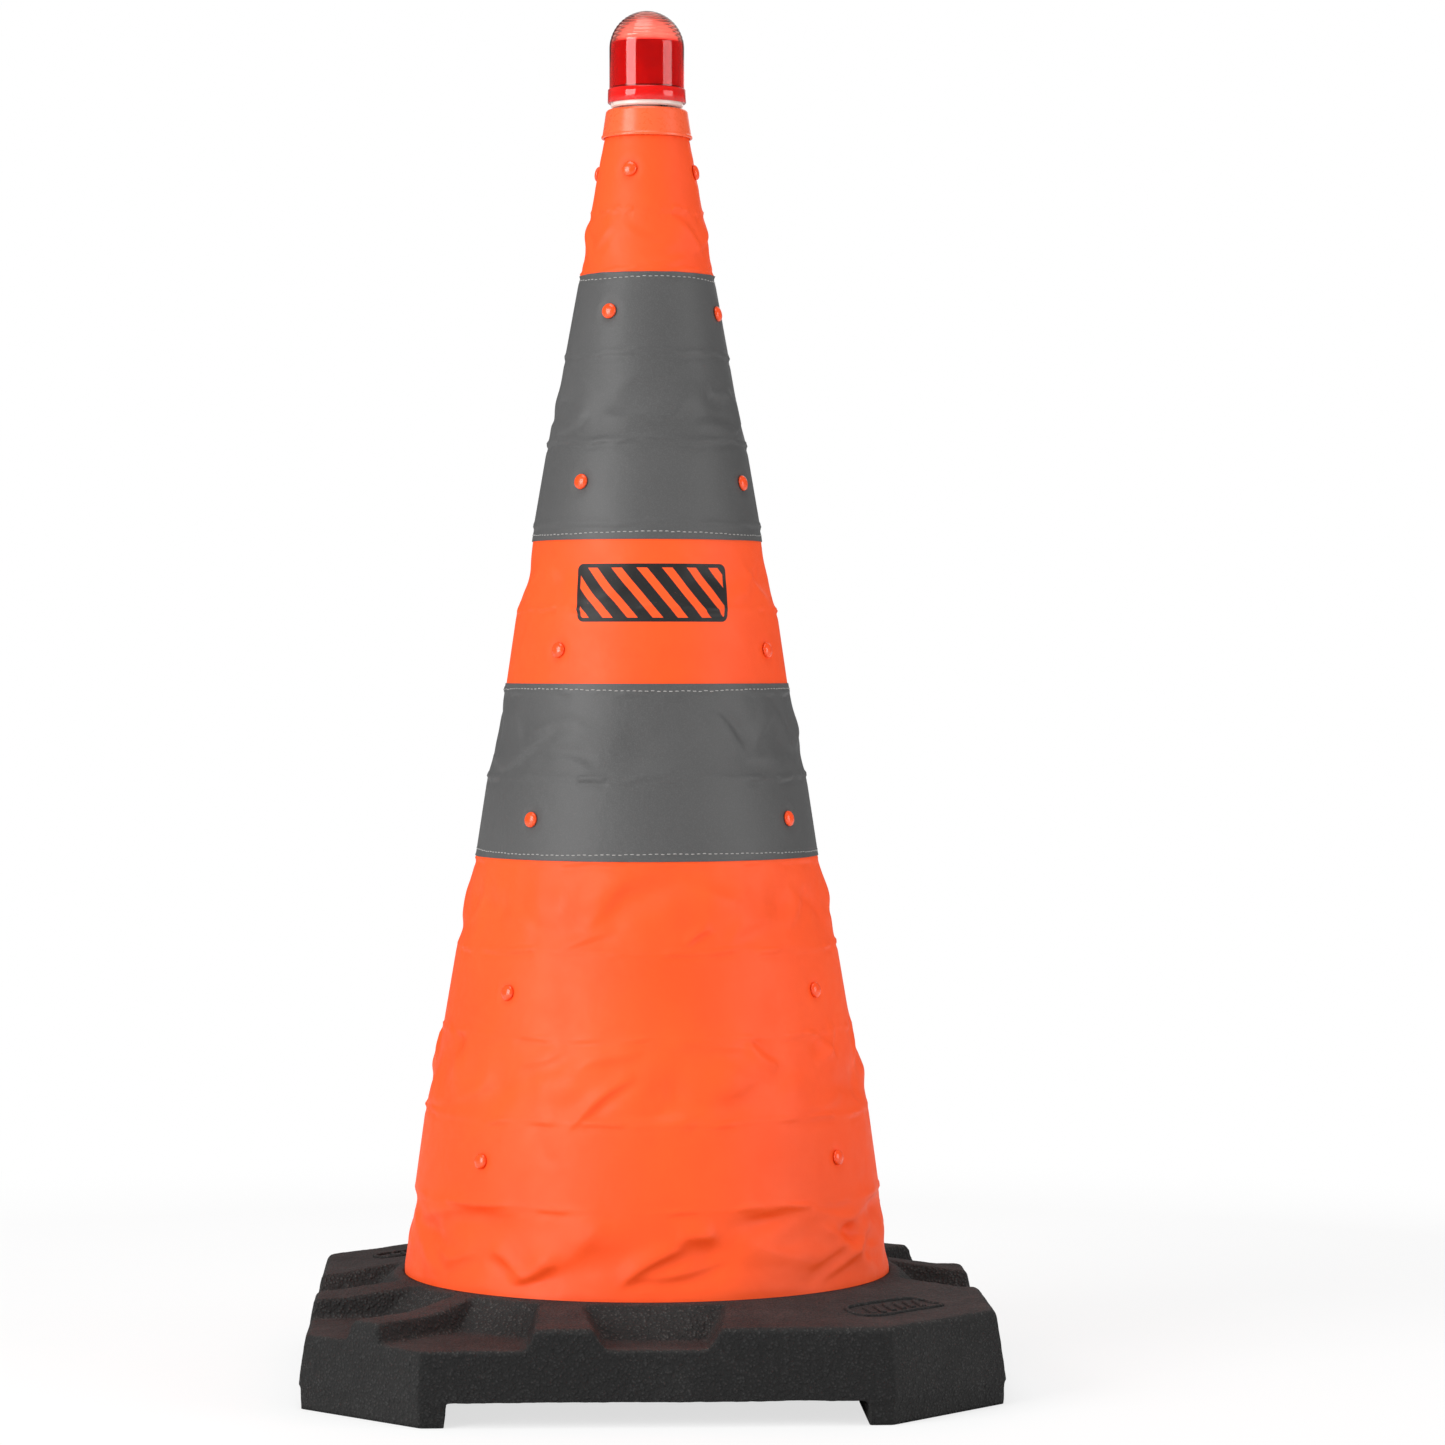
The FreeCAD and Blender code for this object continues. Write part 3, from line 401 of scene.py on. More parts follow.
def circuit_board():
    mat = Mat("circuit_board")
    place = mat.coord()
    tracks = mat.add("TexBrick", place, Scale=260.0, Color1=(0.01, 0.11, 0.035),
                     Color2=(0.012, 0.14, 0.045), Mortar=(0.03, 0.24, 0.08)).outputs["Color"]
    pads = mat.ramp(mat.voronoi(place, scale=380), (0.12, 0.2), to=(1.0, 0.0))
    mat.set(Base_Color=mat.mix(mat.times(pads, 0.8), tracks, (0.6, 0.5, 0.3)),
            Roughness=mat.ramp(mat.noise(place, scale=500), (0.3, 0.7), to=(0.3, 0.5)))
    return mat.material


M_ORANGE, M_PRINT, M_GREY = orange_cloth(), orange_cloth(printed=True), reflective_cloth()
M_RUBBER = pebbled_rubber()
M_THREAD = stitch_thread()
M_RIVET = plastic("orange_plastic", (0.93, 0.076, 0.011), rough=0.22, grain=500, spec=0.45,
                  vary=0.05, coat=0.2)
M_COLLAR = plastic("collar_plastic", (0.92, 0.112, 0.030), rough=0.28, grain=420, vary=0.05,
                   coat=0.06)
M_HOOP = plastic("hoop_plastic", (0.80, 0.16, 0.05), rough=0.42, grain=600)
M_BLACK = plastic("black_plastic", (0.022, 0.022, 0.023), rough=0.4, grain=900, vary=0.2)
M_TRAY = plastic("tray_plastic", (0.03, 0.03, 0.031), rough=0.5, grain=700, vary=0.2)
M_WHITE = plastic("white_plastic", (0.80, 0.70, 0.63), rough=0.3, grain=300, sss=0.1, vary=0.04,
                  coat=0.2)
M_LENS = red_lens()
M_OPTIC = plastic("optic_red", (0.84, 0.012, 0.008), rough=0.3, grain=200, spec=0.3, vary=0.12)
M_LED = led_resin()
M_BOARD = circuit_board()
M_CAN = plastic("battery_can", (0.05, 0.055, 0.07), rough=0.25, grain=800, vary=0.15, coat=0.5)
M_BRASS = metal("contact_brass", (0.78, 0.58, 0.30), rough=0.25)
M_STEEL = metal("steel_screws", (0.62, 0.62, 0.63), rough=0.28)
M_SPRING = metal("spring_steel", (0.36, 0.36, 0.38), rough=0.3, drawn=(20, 20, 4))


# ------------------------------------------------------------- mesh helpers
def new_object(name, verts, faces, material):
    mesh = bpy.data.meshes.new(name)
    mesh.from_pydata([tuple(v) for v in verts], [], [tuple(f) for f in faces])
    mesh.validate()
    mesh.update()
    mesh.polygons.foreach_set("use_smooth", [True] * len(mesh.polygons))
    piece = bpy.data.objects.new(name, mesh)
    SCENE.collection.objects.link(piece)
    if material is not None:
        mesh.materials.append(material)
    return piece


def solid(name, verts, faces, material, sharp=None):
    """Object with its normals outward, hard at edges over `sharp` degrees."""
    piece = new_object(name, verts, faces, material)
    mesh = bmesh.new()
    mesh.from_mesh(piece.data)
    bmesh.ops.recalc_face_normals(mesh, faces=mesh.faces)
    mesh.to_mesh(piece.data)
    mesh.free()
    if sharp:
        piece.data.set_sharp_from_angle(angle=math.radians(sharp))
    return piece


def add_turned(verts, faces, profile, segments, place=lambda *point: point):
    """Adds a turned solid from a closed list of (radius, height) corners."""
    rings = []
    for radial, z in profile:
        count = segments if radial > 1e-7 else 1
        rings.append([len(verts) + i % count for i in range(segments)])
        for i in range(count):
            angle = TAU * i / segments
            verts.append(place(radial * math.cos(angle), radial * math.sin(angle), z))
    for low, high in zip(rings, rings[1:] + rings[:1]):
        for i in range(segments):
            j = (i + 1) % segments
            # corners that meet on the axis count once
            face = tuple(dict.fromkeys((low[i], low[j], high[j], high[i])))
            if len(face) > 2:
                faces.append(face)


def lathe(name, profile, material, sharp):
    verts, faces = [], []
    add_turned(verts, faces, profile, segments=160)
    return solid(name, verts, faces, material, sharp)


def tube_sides(base, rings, sides, closed=False):
    """Side faces between rings of vertices numbered on from base."""
    faces = []
    for ring in range(rings if closed else rings - 1):
        low, high = base + ring * sides, base + (ring + 1) % rings * sides
        for i in range(sides):
            j = (i + 1) % sides
            faces.append((low + i, low + j, high + j, high + i))
    return faces


def round_profile(points, radii, steps=4):
    """Closed corner list with each corner rounded by its own radius."""
    out, count = [], len(points)
    for i, wanted in enumerate(radii):
        before, corner, after = (np.array(points[(i + k) % count], float) for k in (-1, 0, 1))
        back, ahead = before - corner, after - corner
        back_len, ahead_len = np.linalg.norm(back), np.linalg.norm(ahead)
        if min(back_len, ahead_len) < 1e-9:
            out.append(tuple(corner))
            continue
        back, ahead = back / back_len, ahead / ahead_len
        half = math.acos(float(np.clip(back @ ahead, -1, 1))) / 2
        if half > math.radians(88):
            out.append(tuple(corner))
            continue
        cut = min(wanted / math.tan(half), back_len * 0.49, ahead_len * 0.49)
        fillet = cut * math.tan(half)
        middle = (back + ahead) / np.linalg.norm(back + ahead)
        centre = corner + middle * (fillet / math.sin(half))
        start, end = corner + back * cut - centre, corner + ahead * cut - centre
        cosine = start @ end / (np.linalg.norm(start) * np.linalg.norm(end))
        sweep = math.acos(float(np.clip(cosine, -1, 1)))
        for k in range(steps + 1):
            share = k / steps
            arm = math.sin((1 - share) * sweep) * start + math.sin(share * sweep) * end
            out.append(tuple(centre + arm / math.sin(sweep)))
    return out


def metres(points):
    return [(radial * MM, z * MM) for radial, z in points]


def evaluated(piece):
    graph = bpy.context.evaluated_depsgraph_get()
    return bpy.data.meshes.new_from_object(piece.evaluated_get(graph), depsgraph=graph)


def bell(offset, width):
    return np.exp(-0.5 * (offset / width) ** 2)


def smooth(x):
    x = np.clip(x, 0, 1)
    return x * x * (3 - 2 * x)


def wrap(angle):
    return (angle + math.pi) % TAU - math.pi


def lumps(x, y, z, terms):
    """Sum of smooth noise, each term an (amount, scale, seed)."""
    return sum(amount * noise.noise(Vector((x * scale + seed, y * scale - seed,
                                            z * scale + 2 * seed)))
               for amount, scale, seed in terms)


# ------------------------------------------------- sleeve: profile and cloth
def outer_line(name):
    """Largest radius at each height of a CAD solid."""
    best = {}
    for vert in NODES[name].data.vertices:
        z = round(vert.co.z, 6)
        best[z] = max(best.get(z, 0.0), math.hypot(vert.co.x, vert.co.y))
    return best


HOOP = {}       # lower and upper edge of each hoop
outline = {}
for k in range(1, 8):
    low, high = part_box("hoop_%d" % k)
    HOOP[k] = (low[2], high[2])
    # the drilled holes leave odd corners inside a panel: keep its two rims
    panel = outer_line("sleeve_panel_%d" % k)
    outline.update({z: panel[z] for z in (min(panel), max(panel))})
    outline.update(outer_line("sleeve_fold_%d" % k))
hem_low, hem_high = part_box("sleeve_hem")
HEM_TOP = 0.0582
outline[hem_low[2]] = outline[HEM_TOP] = hem_high[0]
known_z = np.array(sorted(outline))
known_r = np.array([outline[z] for z in known_z])
Z_LOW, Z_TOP = float(known_z[0]), float(HOOP[7][1]) - 0.0002
fine_z = np.arange(Z_LOW - 0.01, Z_TOP + 0.01, 0.00025)
fine_r = np.interp(fine_z, known_z, known_r)
kernel = bell(np.arange(-24, 25) * 0.25, 1.6)    # steps of 0.25 mm, 1.6 mm soft
kernel /= kernel.sum()
soft_r = np.convolve(np.pad(fine_r, 24, mode="edge"), kernel, mode="valid")


def radius(z):
    return np.interp(z, fine_z, soft_r)


def hoop_mid(k):
    return (HOOP[k][0] + HOOP[k][1]) / 2


def rivet_angles(k):
    """Middle angle of each cluster of vertices in a hoop's rivets."""
    verts = NODES["hoop_%d_rivets" % k].data.vertices
    angles = np.sort([math.atan2(v.co.y, v.co.x) % TAU for v in verts])
    gaps = np.diff(np.append(angles, angles[0] + TAU))
    cuts = [int(i) for i in np.nonzero(gaps > 0.15)[0]]
    found = []
    for i, cut in enumerate(cuts):
        first = angles[(cut + 1) % len(angles)]
        last = angles[cuts[(i + 1) % len(cuts)]]
        found.append(first + ((last - first) % TAU) / 2)
    return found


RIVETS = {k: rivet_angles(k) for k in range(1, 8)}

SIM_COLS, SIM_PITCH, SIM_LOW = 176, 0.0041, 0.050
sim_z = np.linspace(SIM_LOW, Z_TOP, int((Z_TOP - SIM_LOW) / SIM_PITCH) + 1)
sim_angles = np.arange(SIM_COLS) * TAU / SIM_COLS

# (amount, scale, seed) of the noise in the cloth's starting place and its skewed cut
START_LUMPS = [(0.0009, 26, 3.1), (0.0003, 70, 8.7)]
SKEW_LUMPS = [(0.0048, 15, 2.2), (0.0024, 34, 6.1)]
CUT_WIDE, CUT_LONG = 1.004, 1.017      # size of the cut cloth against the sleeve
LAST_FRAME = 24
MOST_SHIFT = 0.0042


def run_cloth():
    """Coated cloth cut a little long and laid slightly askew between the hoops, let go under its
    own weight. Returns the shift of every grid point."""
    angle, height = np.meshgrid(sim_angles, sim_z)
    around = radius(height)
    rest = np.stack([around * np.cos(angle), around * np.sin(angle), height], -1).reshape(-1, 3)
    start, cut = rest.copy(), rest.copy()
    for i, (x, y, z) in enumerate(rest):
        radial, at = math.hypot(x, y), math.atan2(y, x)
        push = lumps(x, y, z, START_LUMPS)
        start[i, 0] += push * x / radial
        start[i, 1] += push * y / radial
        at += lumps(x, y, z, SKEW_LUMPS) / radial
        cut[i] = (radial * CUT_WIDE * math.cos(at), radial * CUT_WIDE * math.sin(at),
                  z * CUT_LONG)
    # held on the hoops, at the hem and at the top
    held = np.zeros(len(sim_z))
    for low, high in HOOP.values():
        held[(sim_z > low - 0.0015) & (sim_z < high - 0.001)] = 1.0
    held[sim_z < 0.0612] = 1.0
    held[-2:] = 1.0
    pinned = np.repeat(held, SIM_COLS) > 0.5
    start[pinned] = rest[pinned]
    trial = new_object("cloth_trial", start, tube_sides(0, len(sim_z), SIM_COLS), None)
    trial.shape_key_add(name="Basis")
    key = trial.shape_key_add(name="cut")
    key.data.foreach_set("co", cut.ravel())
    group = trial.vertex_groups.new(name="held")
    group.add([int(i) for i in np.nonzero(pinned)[0]], 1.0, "REPLACE")
    cloth = trial.modifiers.new("Cloth", "CLOTH")
    settings = cloth.settings
    settings.rest_shape_key = key
    settings.quality = 6
    settings.mass = 0.15
    settings.tension_stiffness = 26
    settings.compression_stiffness = 18
    settings.shear_stiffness = 9
    settings.bending_stiffness = 3.0
    settings.air_damping = 2.0
    settings.vertex_group_mass = "held"
    settings.effector_weights.gravity = 0.5
    cloth.collision_settings.use_collision = False
    cloth.collision_settings.use_self_collision = False
    cloth.point_cache.frame_start, cloth.point_cache.frame_end = 1, LAST_FRAME
    SCENE.frame_start, SCENE.frame_end = 1, LAST_FRAME
    for step in range(1, LAST_FRAME + 1):
        SCENE.frame_set(step)
    mesh = evaluated(trial)
    settled = np.array([v.co for v in mesh.vertices])
    bpy.data.meshes.remove(mesh)
    bpy.data.objects.remove(trial, do_unlink=True)
    SCENE.frame_set(1)
    shift = (settled - rest).reshape(len(sim_z), SIM_COLS, 3)
    # points the solver may have lost stay at rest
    shift[~np.isfinite(shift)] = 0.0
    size = np.linalg.norm(shift, axis=2, keepdims=True)
    shift *= np.minimum(1.0, MOST_SHIFT / np.maximum(size, 1e-9))
    # averaged once with the neighbours, round and up
    shift = 0.5 * shift + 0.25 * (np.roll(shift, 1, 1) + np.roll(shift, -1, 1))
    padded = np.pad(shift, ((1, 1), (0, 0), (0, 0)), mode="edge")
    return (0.5 * shift + 0.25 * (padded[2:] + padded[:-2])) * (1.0 - held[:, None, None])


def wrapped_shift():
    """The cloth's shift as radial, sideways and vertical shares, so that it wraps round cleanly."""
    shift = run_cloth()
    outward = np.stack([np.cos(sim_angles), np.sin(sim_angles)], -1)[None]
    sideways = np.stack([-np.sin(sim_angles), np.cos(sim_angles)], -1)[None]
    shift = np.stack([(shift[..., :2] * outward).sum(-1), (shift[..., :2] * sideways).sum(-1),
                      shift[..., 2]], -1)
    # narrow upright flutes are ironed out, more so higher up where the cloth is drawn tight
    waves = np.fft.rfftfreq(SIM_COLS, 1.0 / SIM_COLS)
    iron = np.interp(sim_z, [0.06, 0.30, 0.45, 0.70], [0.0016, 0.0034, 0.0056, 0.0056])
    keep = bell(waves[None, :] * (iron / radius(sim_z))[:, None], 1.0)
    return np.fft.irfft(np.fft.rfft(shift, axis=1) * keep[..., None], SIM_COLS, axis=1)


SHIFT = wrapped_shift()


def cubic(values, places, axis, around):
    """Catmull-Rom samples at fractional places along axis, which may run around."""
    count = values.shape[axis]
    i = np.floor(places).astype(int)
    u = places - i
    weights = [-0.5 * u + u * u - 0.5 * u ** 3, 1 - 2.5 * u * u + 1.5 * u ** 3,
               0.5 * u + 2 * u * u - 1.5 * u ** 3, -0.5 * u * u + 0.5 * u ** 3]
    shape = [1] * values.ndim
    shape[axis] = -1
    total = 0
    for k, weight in zip((-1, 0, 1, 2), weights):
        index = (i + k) % count if around else np.clip(i + k, 0, count - 1)
        total = total + np.take(values, index, axis=axis) * weight.reshape(shape)
    return total


# Pressed-in folds of the packed-away cloth: from (degrees right of the front, mm up) to the same,
# height and half-width in mm.
FOLDS = [
    (-7, 67, 6, 88, 2.3, 4.5), (6, 88, 14, 94, 1.8, 5.0), (-5, 69, 17, 79, 1.6, 4.0),
    (-35, 67, -23, 75, 1.7, 4.0), (-31, 71, -41, 80, 1.4, 4.0), (-24, 72, -12, 103, 1.2, 8.0),
    (44, 90, 68, 66, 2.0, 5.0), (48, 91, 75, 103, 1.5, 5.0), (22, 89, 39, 70, 1.2, 7.0),
    (-57, 69, -47, 81, 1.0, 5.0), (57, 80, 72, 76, 1.2, 3.5), (-66, 72, -58, 99, 1.0, 6.0),
    (-21, 151, -6, 175, 1.7, 3.2), (-19, 181, -4, 192, 1.2, 4.5), (6, 192, 27, 194, 1.4, 5.0),
    (27, 194, 35, 179, 1.6, 3.8), (-37, 180, -25, 191, 1.1, 4.5), (1, 166, 10, 152, 1.5, 6.0),
    (15, 168, 29, 173, 0.9, 6.0), (49, 196, 61, 181, 1.3, 4.0), (-62, 158, -48, 172, 1.0, 5.0),
    (38, 152, 58, 163, 1.0, 5.0), (-12, 158, 2, 163, 0.8, 5.0), (-22, 257, -7, 282, 1.7, 7.0),
    (10, 250, 18, 253, 1.3, 2.6), (-28, 246, -12, 252, 0.9, 3.2), (24, 249, 40, 262, 0.9, 5.0),
    (9, 283, 26, 266, 1.1, 6.0), (-52, 262, -38, 250, 0.9, 5.0), (46, 255, 60, 276, 1.0, 5.0),
    (-66, 342, -41, 359, 1.3, 3.6), (-52, 361, -28, 366, 0.9, 3.4), (-5, 338, 10, 341, 0.8, 2.8),
    (24, 371, 37, 353, 1.1, 3.6), (38, 344, 55, 349, 0.8, 3.2), (-40, 350, -22, 339, 0.8, 3.4),
    (2, 352, 20, 362, 0.7, 5.0), (56, 372, 70, 352, 0.9, 3.6), (-30, 433, -8, 445, 0.8, 5.0),
    (12, 455, 34, 438, 0.8, 4.5), (40, 434, 62, 452, 1.0, 3.8), (-64, 452, -44, 438, 0.9, 4.0),
    (-68, 526, -42, 538, 1.1, 3.0), (-28, 538, 2, 533, 0.9, 3.0), (2, 533, 24, 541, 0.9, 3.0),
    (30, 531, 66, 527, 1.1, 3.0), (44, 545, 66, 552, 0.9, 3.2), (-20, 553, 10, 560, 0.6, 4.0),
    (-58, 560, -34, 548, 0.7, 3.4), (-24, 640, 22, 631, 0.9, 3.0), (24, 646, 62, 628, 1.2, 2.8),
    (-60, 632, -34, 641, 0.9, 2.8), (-4, 624, 34, 622, 0.7, 2.6),
]
# the same folds again on the other two thirds, once mirrored, with a turn in degrees at the end
CREASES = [(*fold, 0.0) for fold in FOLDS] \
    + [(-c, d - 1.5, -a, b + 1.0, h * 0.9, w, 112.0) for a, b, c, d, h, w in FOLDS] \
    + [(a, b + 1.0, c, d - 1.0, h * 0.95, w * 1.1, 236.0) for a, b, c, d, h, w in FOLDS]

# Broad soft dents and swells between the hoops: degrees right of the front, mm up, depth,
# half-width, half-height in mm, lean in degrees.
FRONT_DENTS = [
    (-4, 272, -2.0, 24, 8, 18), (-33, 266, 1.4, 18, 12, 0), (22, 270, 1.3, 20, 11, -10),
    (46, 268, -1.5, 14, 10, 30), (-58, 264, -1.3, 14, 9, -20), (-23, 173, 1.9, 20, 11, 10),
    (19, 176, 1.9, 15, 12, 0), (3, 161, -2.0, 11, 10, 35), (-44, 167, -1.3, 12, 10, 20),
    (53, 190, -1.7, 8, 9, -20), (40, 166, 1.2, 14, 9, 15), (-62, 178, 1.3, 10, 12, 0),
    (-44, 97, -1.9, 20, 8, -6), (28, 99, -1.8, 17, 6, 8), (13, 79, -2.0, 13, 8, 15),
    (-12, 92, 1.6, 14, 9, 0), (-27, 78, 1.3, 12, 8, 20), (56, 84, -1.9, 8, 10, 25),
    (40, 78, 1.4, 12, 8, 0), (-60, 76, 1.2, 12, 9, 0), (-2, 352, -0.9, 20, 9, 12),
    (-34, 358, 1.0, 16, 9, 10), (34, 362, -1.1, 14, 8, -30), (52, 346, 1.0, 12, 8, 0),
    (-18, 440, 1.0, 16, 8, 0), (26, 446, -1.1, 14, 8, 20), (-46, 446, -1.0, 12, 9, 0),
    (50, 438, 0.9, 10, 8, 0), (-12, 542, -0.8, 14, 7, 10), (24, 546, 0.8, 12, 7, 0),
    (-46, 540, 0.8, 10, 8, 0), (48, 544, -0.8, 9, 8, 0), (2, 634, -0.7, 12, 7, -8),
    (36, 640, 0.7, 9, 7, 0), (-40, 636, 0.7, 10, 7, 0),
]
# deeper near the foot and the top, and repeated on the other two thirds
DENTS = [(a + turn, z + rise, depth * (1.7 if z < 300 or z > 620 else 1.5), w, h, lean)
         for turn, rise in ((0, 0), (118, 1), (241, -1))
         for a, z, depth, w, h, lean in FRONT_DENTS]


def free_cloth(height):
    """1 between the hoops, 0 where the cloth lies on one."""
    soft = 0.006
    free = np.ones_like(height)
    for low, high in HOOP.values():
        free *= 1 - smooth((height - low + soft) / soft) * smooth((high + soft - height) / soft)
    return free * smooth((height - 0.062) / soft)


def dents(angle, height):
    out = np.zeros_like(angle)
    for degrees, z, depth, wide, tall, lean in DENTS:
        if z * MM + 0.05 < height.min() or z * MM - 0.05 > height.max():
            continue
        run = wrap(angle - FRONT - math.radians(degrees)) * float(radius(z * MM))
        rise = height - z * MM
        cosine, sine = math.cos(math.radians(lean)), math.sin(math.radians(lean))
        x = (run * cosine + rise * sine) / (wide * MM)
        y = (rise * cosine - run * sine) / (tall * MM)
        out += depth * MM * np.exp(-0.5 * (x * x + y * y) * 1.9)
    return out * free_cloth(height)


def creases(angle, height):
    """Height of the pressed folds over a patch of cloth."""
    out = np.zeros_like(angle)
    lowest, highest = height.min(), height.max()
    for deg_0, up_0, deg_1, up_1, tall, wide, turn in CREASES:
        if max(up_0, up_1) * MM + 0.025 < lowest or min(up_0, up_1) * MM - 0.025 > highest:
            continue
        mid_z = (up_0 + up_1) * 0.5 * MM
        around = float(radius(mid_z))
        run = wrap(angle - (FRONT + math.radians((deg_0 + deg_1) / 2 + turn))) * around
        rise = height - mid_z
        step_x, step_z = math.radians(deg_1 - deg_0) * around, (up_1 - up_0) * MM
        length = math.hypot(step_x, step_z)
        way_x, way_z = step_x / length, step_z / length
        along = (run * way_x + rise * way_z) / (length * 0.62)
        bend = 0.0018 * np.sin(along * 2.3 + deg_0)
        across = (-run * way_z + rise * way_x + bend) / (wide * MM)
        if way_z * way_x < 0:
            across = -across
        taper = np.clip(1 - along ** 2, 0, 1) ** 1.5
        gain = (2.0 if max(up_0, up_1) < 300 else 1.55) * tall * MM
        gain = gain * (0.55 + 0.45 * (1 - taper))
        # steep on its lower side, a shallow hollow under it
        ridge = np.exp(-np.where(across > 0, across / 1.5, across / 0.62) ** 2)
        out += gain * taper * (ridge - 0.42 * np.exp(-((across + 1.55) / 0.9) ** 2))
    return np.where(out < 0, out * free_cloth(height), out)


def hoop_ridge(angle, height, k, edge, tall, phase):
    """Fine broken ridge where a hoop's edge prints through."""
    broken = (np.sin(angle * 9 + k * 2.1 * phase) * np.sin(angle * 4 - k)
              + 0.6 * np.sin(angle * 23 + 5 * k * phase))
    least = 0.72 if k in (5, 6) else 0.22
    broken = least + (1 - least) * smooth((broken + 0.15) / 0.9)
    line = edge + 0.0007 * np.sin(angle * 6 + k * phase) + 0.0004 * np.sin(angle * 17 + k)
    # a narrow crest with a wider hollow 2.6 mm below it
    return tall * broken * (bell(height - line, 0.0009)
                            - 0.5 * bell(height - line + 0.0026, 0.0014))


SEAM = math.radians(9.0)


def surface(heights, angles):
    """Cloth surface points for rows of height and columns of angle."""
    rows = (heights - sim_z[0]) / (sim_z[1] - sim_z[0])
    shift = cubic(SHIFT, np.clip(rows, 0, len(sim_z) - 1), axis=0, around=False)
    shift = cubic(shift, angles * SIM_COLS / TAU, axis=1, around=True)
    angle, height = np.meshgrid(angles, heights)
    around = radius(height)
    out = around + shift[..., 0] + creases(angle, height) + dents(angle, height)
    for k, (low, high) in HOOP.items():
        for edge, tall, phase in ((high, 0.00105, 1.0), (low, 0.00080, 2.0)):
            if heights[0] <= edge + 0.012 and edge - 0.012 <= heights[-1]:
                out += hoop_ridge(angle, height, k, edge, tall, phase)
        # cloth is drawn in a little round each rivet, with a faint swell round that
        mid_z = hoop_mid(k)
        for rivet in RIVETS[k]:
            dist = np.hypot(wrap(angle - rivet) * radius(mid_z), height - mid_z)
            out -= 0.00060 * bell(dist, 0.0042)
            out += 0.00024 * bell(dist - 0.0085, 0.0024)
    # lapped seam near the right-hand side
    run = wrap(angle - SEAM) * around
    out += 0.0008 * smooth((run + 0.0004) / 0.0012) * (1 - smooth((run - 0.009) / 0.004))
    at = angle + shift[..., 1] / out
    return np.stack([out * np.cos(at), out * np.sin(at), height + shift[..., 2]], -1)


COLS = 432


def sheet(name, low_z, high_z, lift, thick, material, under=(), pitch=0.0014):
    """Closed cloth piece between two heights, its outside lifted off the cloth surface by lift.
    It is pressed in where it lies under the given bands."""
    count = max(3, int(round((high_z - low_z) / pitch)) + 1)
    rows = np.linspace(low_z, high_z, count)
    step = rows[1] - rows[0]
    # one more row at each end, for the normals only; the columns start at the back
    points = surface(np.concatenate([[rows[0] - step], rows, [rows[-1] + step]]),
                     FRONT + math.pi + np.arange(COLS) * TAU / COLS)
    sideways = np.roll(points, -1, 1) - np.roll(points, 1, 1)
    normals = np.cross(sideways[1:-1], points[2:] - points[:-2])
    normals /= np.linalg.norm(normals, axis=2, keepdims=True)
    points = points[1:-1]
    sink = np.zeros(count)
    for low, high in under:
        sink = np.maximum(sink, smooth((rows - low - 0.0016) / 0.003)
                          * smooth((high - 0.0016 - rows) / 0.003))
    points = points - normals * (sink * 0.0011)[:, None, None]
    verts = np.concatenate([(points + normals * lift).reshape(-1, 3),
                            (points + normals * (lift - thick)).reshape(-1, 3)])
    skin = count * COLS
    here = np.arange(skin).reshape(count, COLS)
    beside = np.roll(here, -1, 1)
    outer = np.stack([here[:-1], beside[:-1], beside[1:], here[1:]], -1).reshape(-1, 4)
    inner = outer[:, ::-1] + skin
    low_rim = np.stack([here[0] + skin, beside[0] + skin, beside[0], here[0]], -1)
    top_rim = np.stack([here[-1], beside[-1], beside[-1] + skin, here[-1] + skin], -1)
    mesh = bpy.data.meshes.new(name)
    mesh.from_pydata(verts, [], np.concatenate([outer, inner, low_rim, top_rim]).tolist())
    piece = bpy.data.objects.new(name, mesh)
    SCENE.collection.objects.link(piece)
    mesh.materials.append(material)
    mesh.polygons.foreach_set("use_smooth", [True] * len(mesh.polygons))
    # UV: arc length and height, with the front in the middle
    turns = np.arange(COLS + 1) * TAU / COLS - math.pi
    grid = np.stack([radius(rows)[:, None] * turns[None],
                     np.tile(rows[:, None], (1, COLS + 1))], -1)
    left, right = grid[:, :-1], grid[:, 1:]
    outer_uv = np.stack([left[:-1], right[:-1], right[1:], left[1:]], 2).reshape(-1, 4, 2)
    rim_uv = [np.stack([left[end], right[end], right[end], left[end]], 1) for end in (0, -1)]
    all_uv = np.concatenate([outer_uv, outer_uv[:, ::-1], *rim_uv])
    layer = mesh.uv_layers.new(name="cloth")
    layer.data.foreach_set("uv", all_uv.astype(np.float32).ravel())
    rest = mesh.attributes.new("rest", "FLOAT_VECTOR", "POINT")
    rest.data.foreach_set("vector", verts.astype(np.float32).ravel())
    # the skins are shaded by the surface normals, the rims by the way they face
    corners = np.zeros(len(mesh.loops), np.int32)
    mesh.loops.foreach_get("vertex_index", corners)
    shading = np.concatenate([normals.reshape(-1, 3), -normals.reshape(-1, 3)])[corners]
    first = 4 * (len(outer) + len(inner))
    for row, neighbour in ((0, 1), (-1, -2)):
        facing = points[row] - points[neighbour]
        facing /= np.linalg.norm(facing, axis=1, keepdims=True)
        shading[first:first + 4 * COLS] = np.repeat(facing, 4, axis=0)
        first += 4 * COLS
    mesh.normals_split_custom_set(shading.tolist())
    return piece


BOUNDS = [Z_LOW, hoop_mid(1) + 0.012, hoop_mid(2) + 0.012, *BAND_LOW, hoop_mid(5) + 0.012,
          BAND_HIGH[1], hoop_mid(7) + 0.010, Z_TOP]


def blend_to(piece, k):
    """Bakes the piece's placement into its mesh; k is not used."""
    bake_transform(piece)


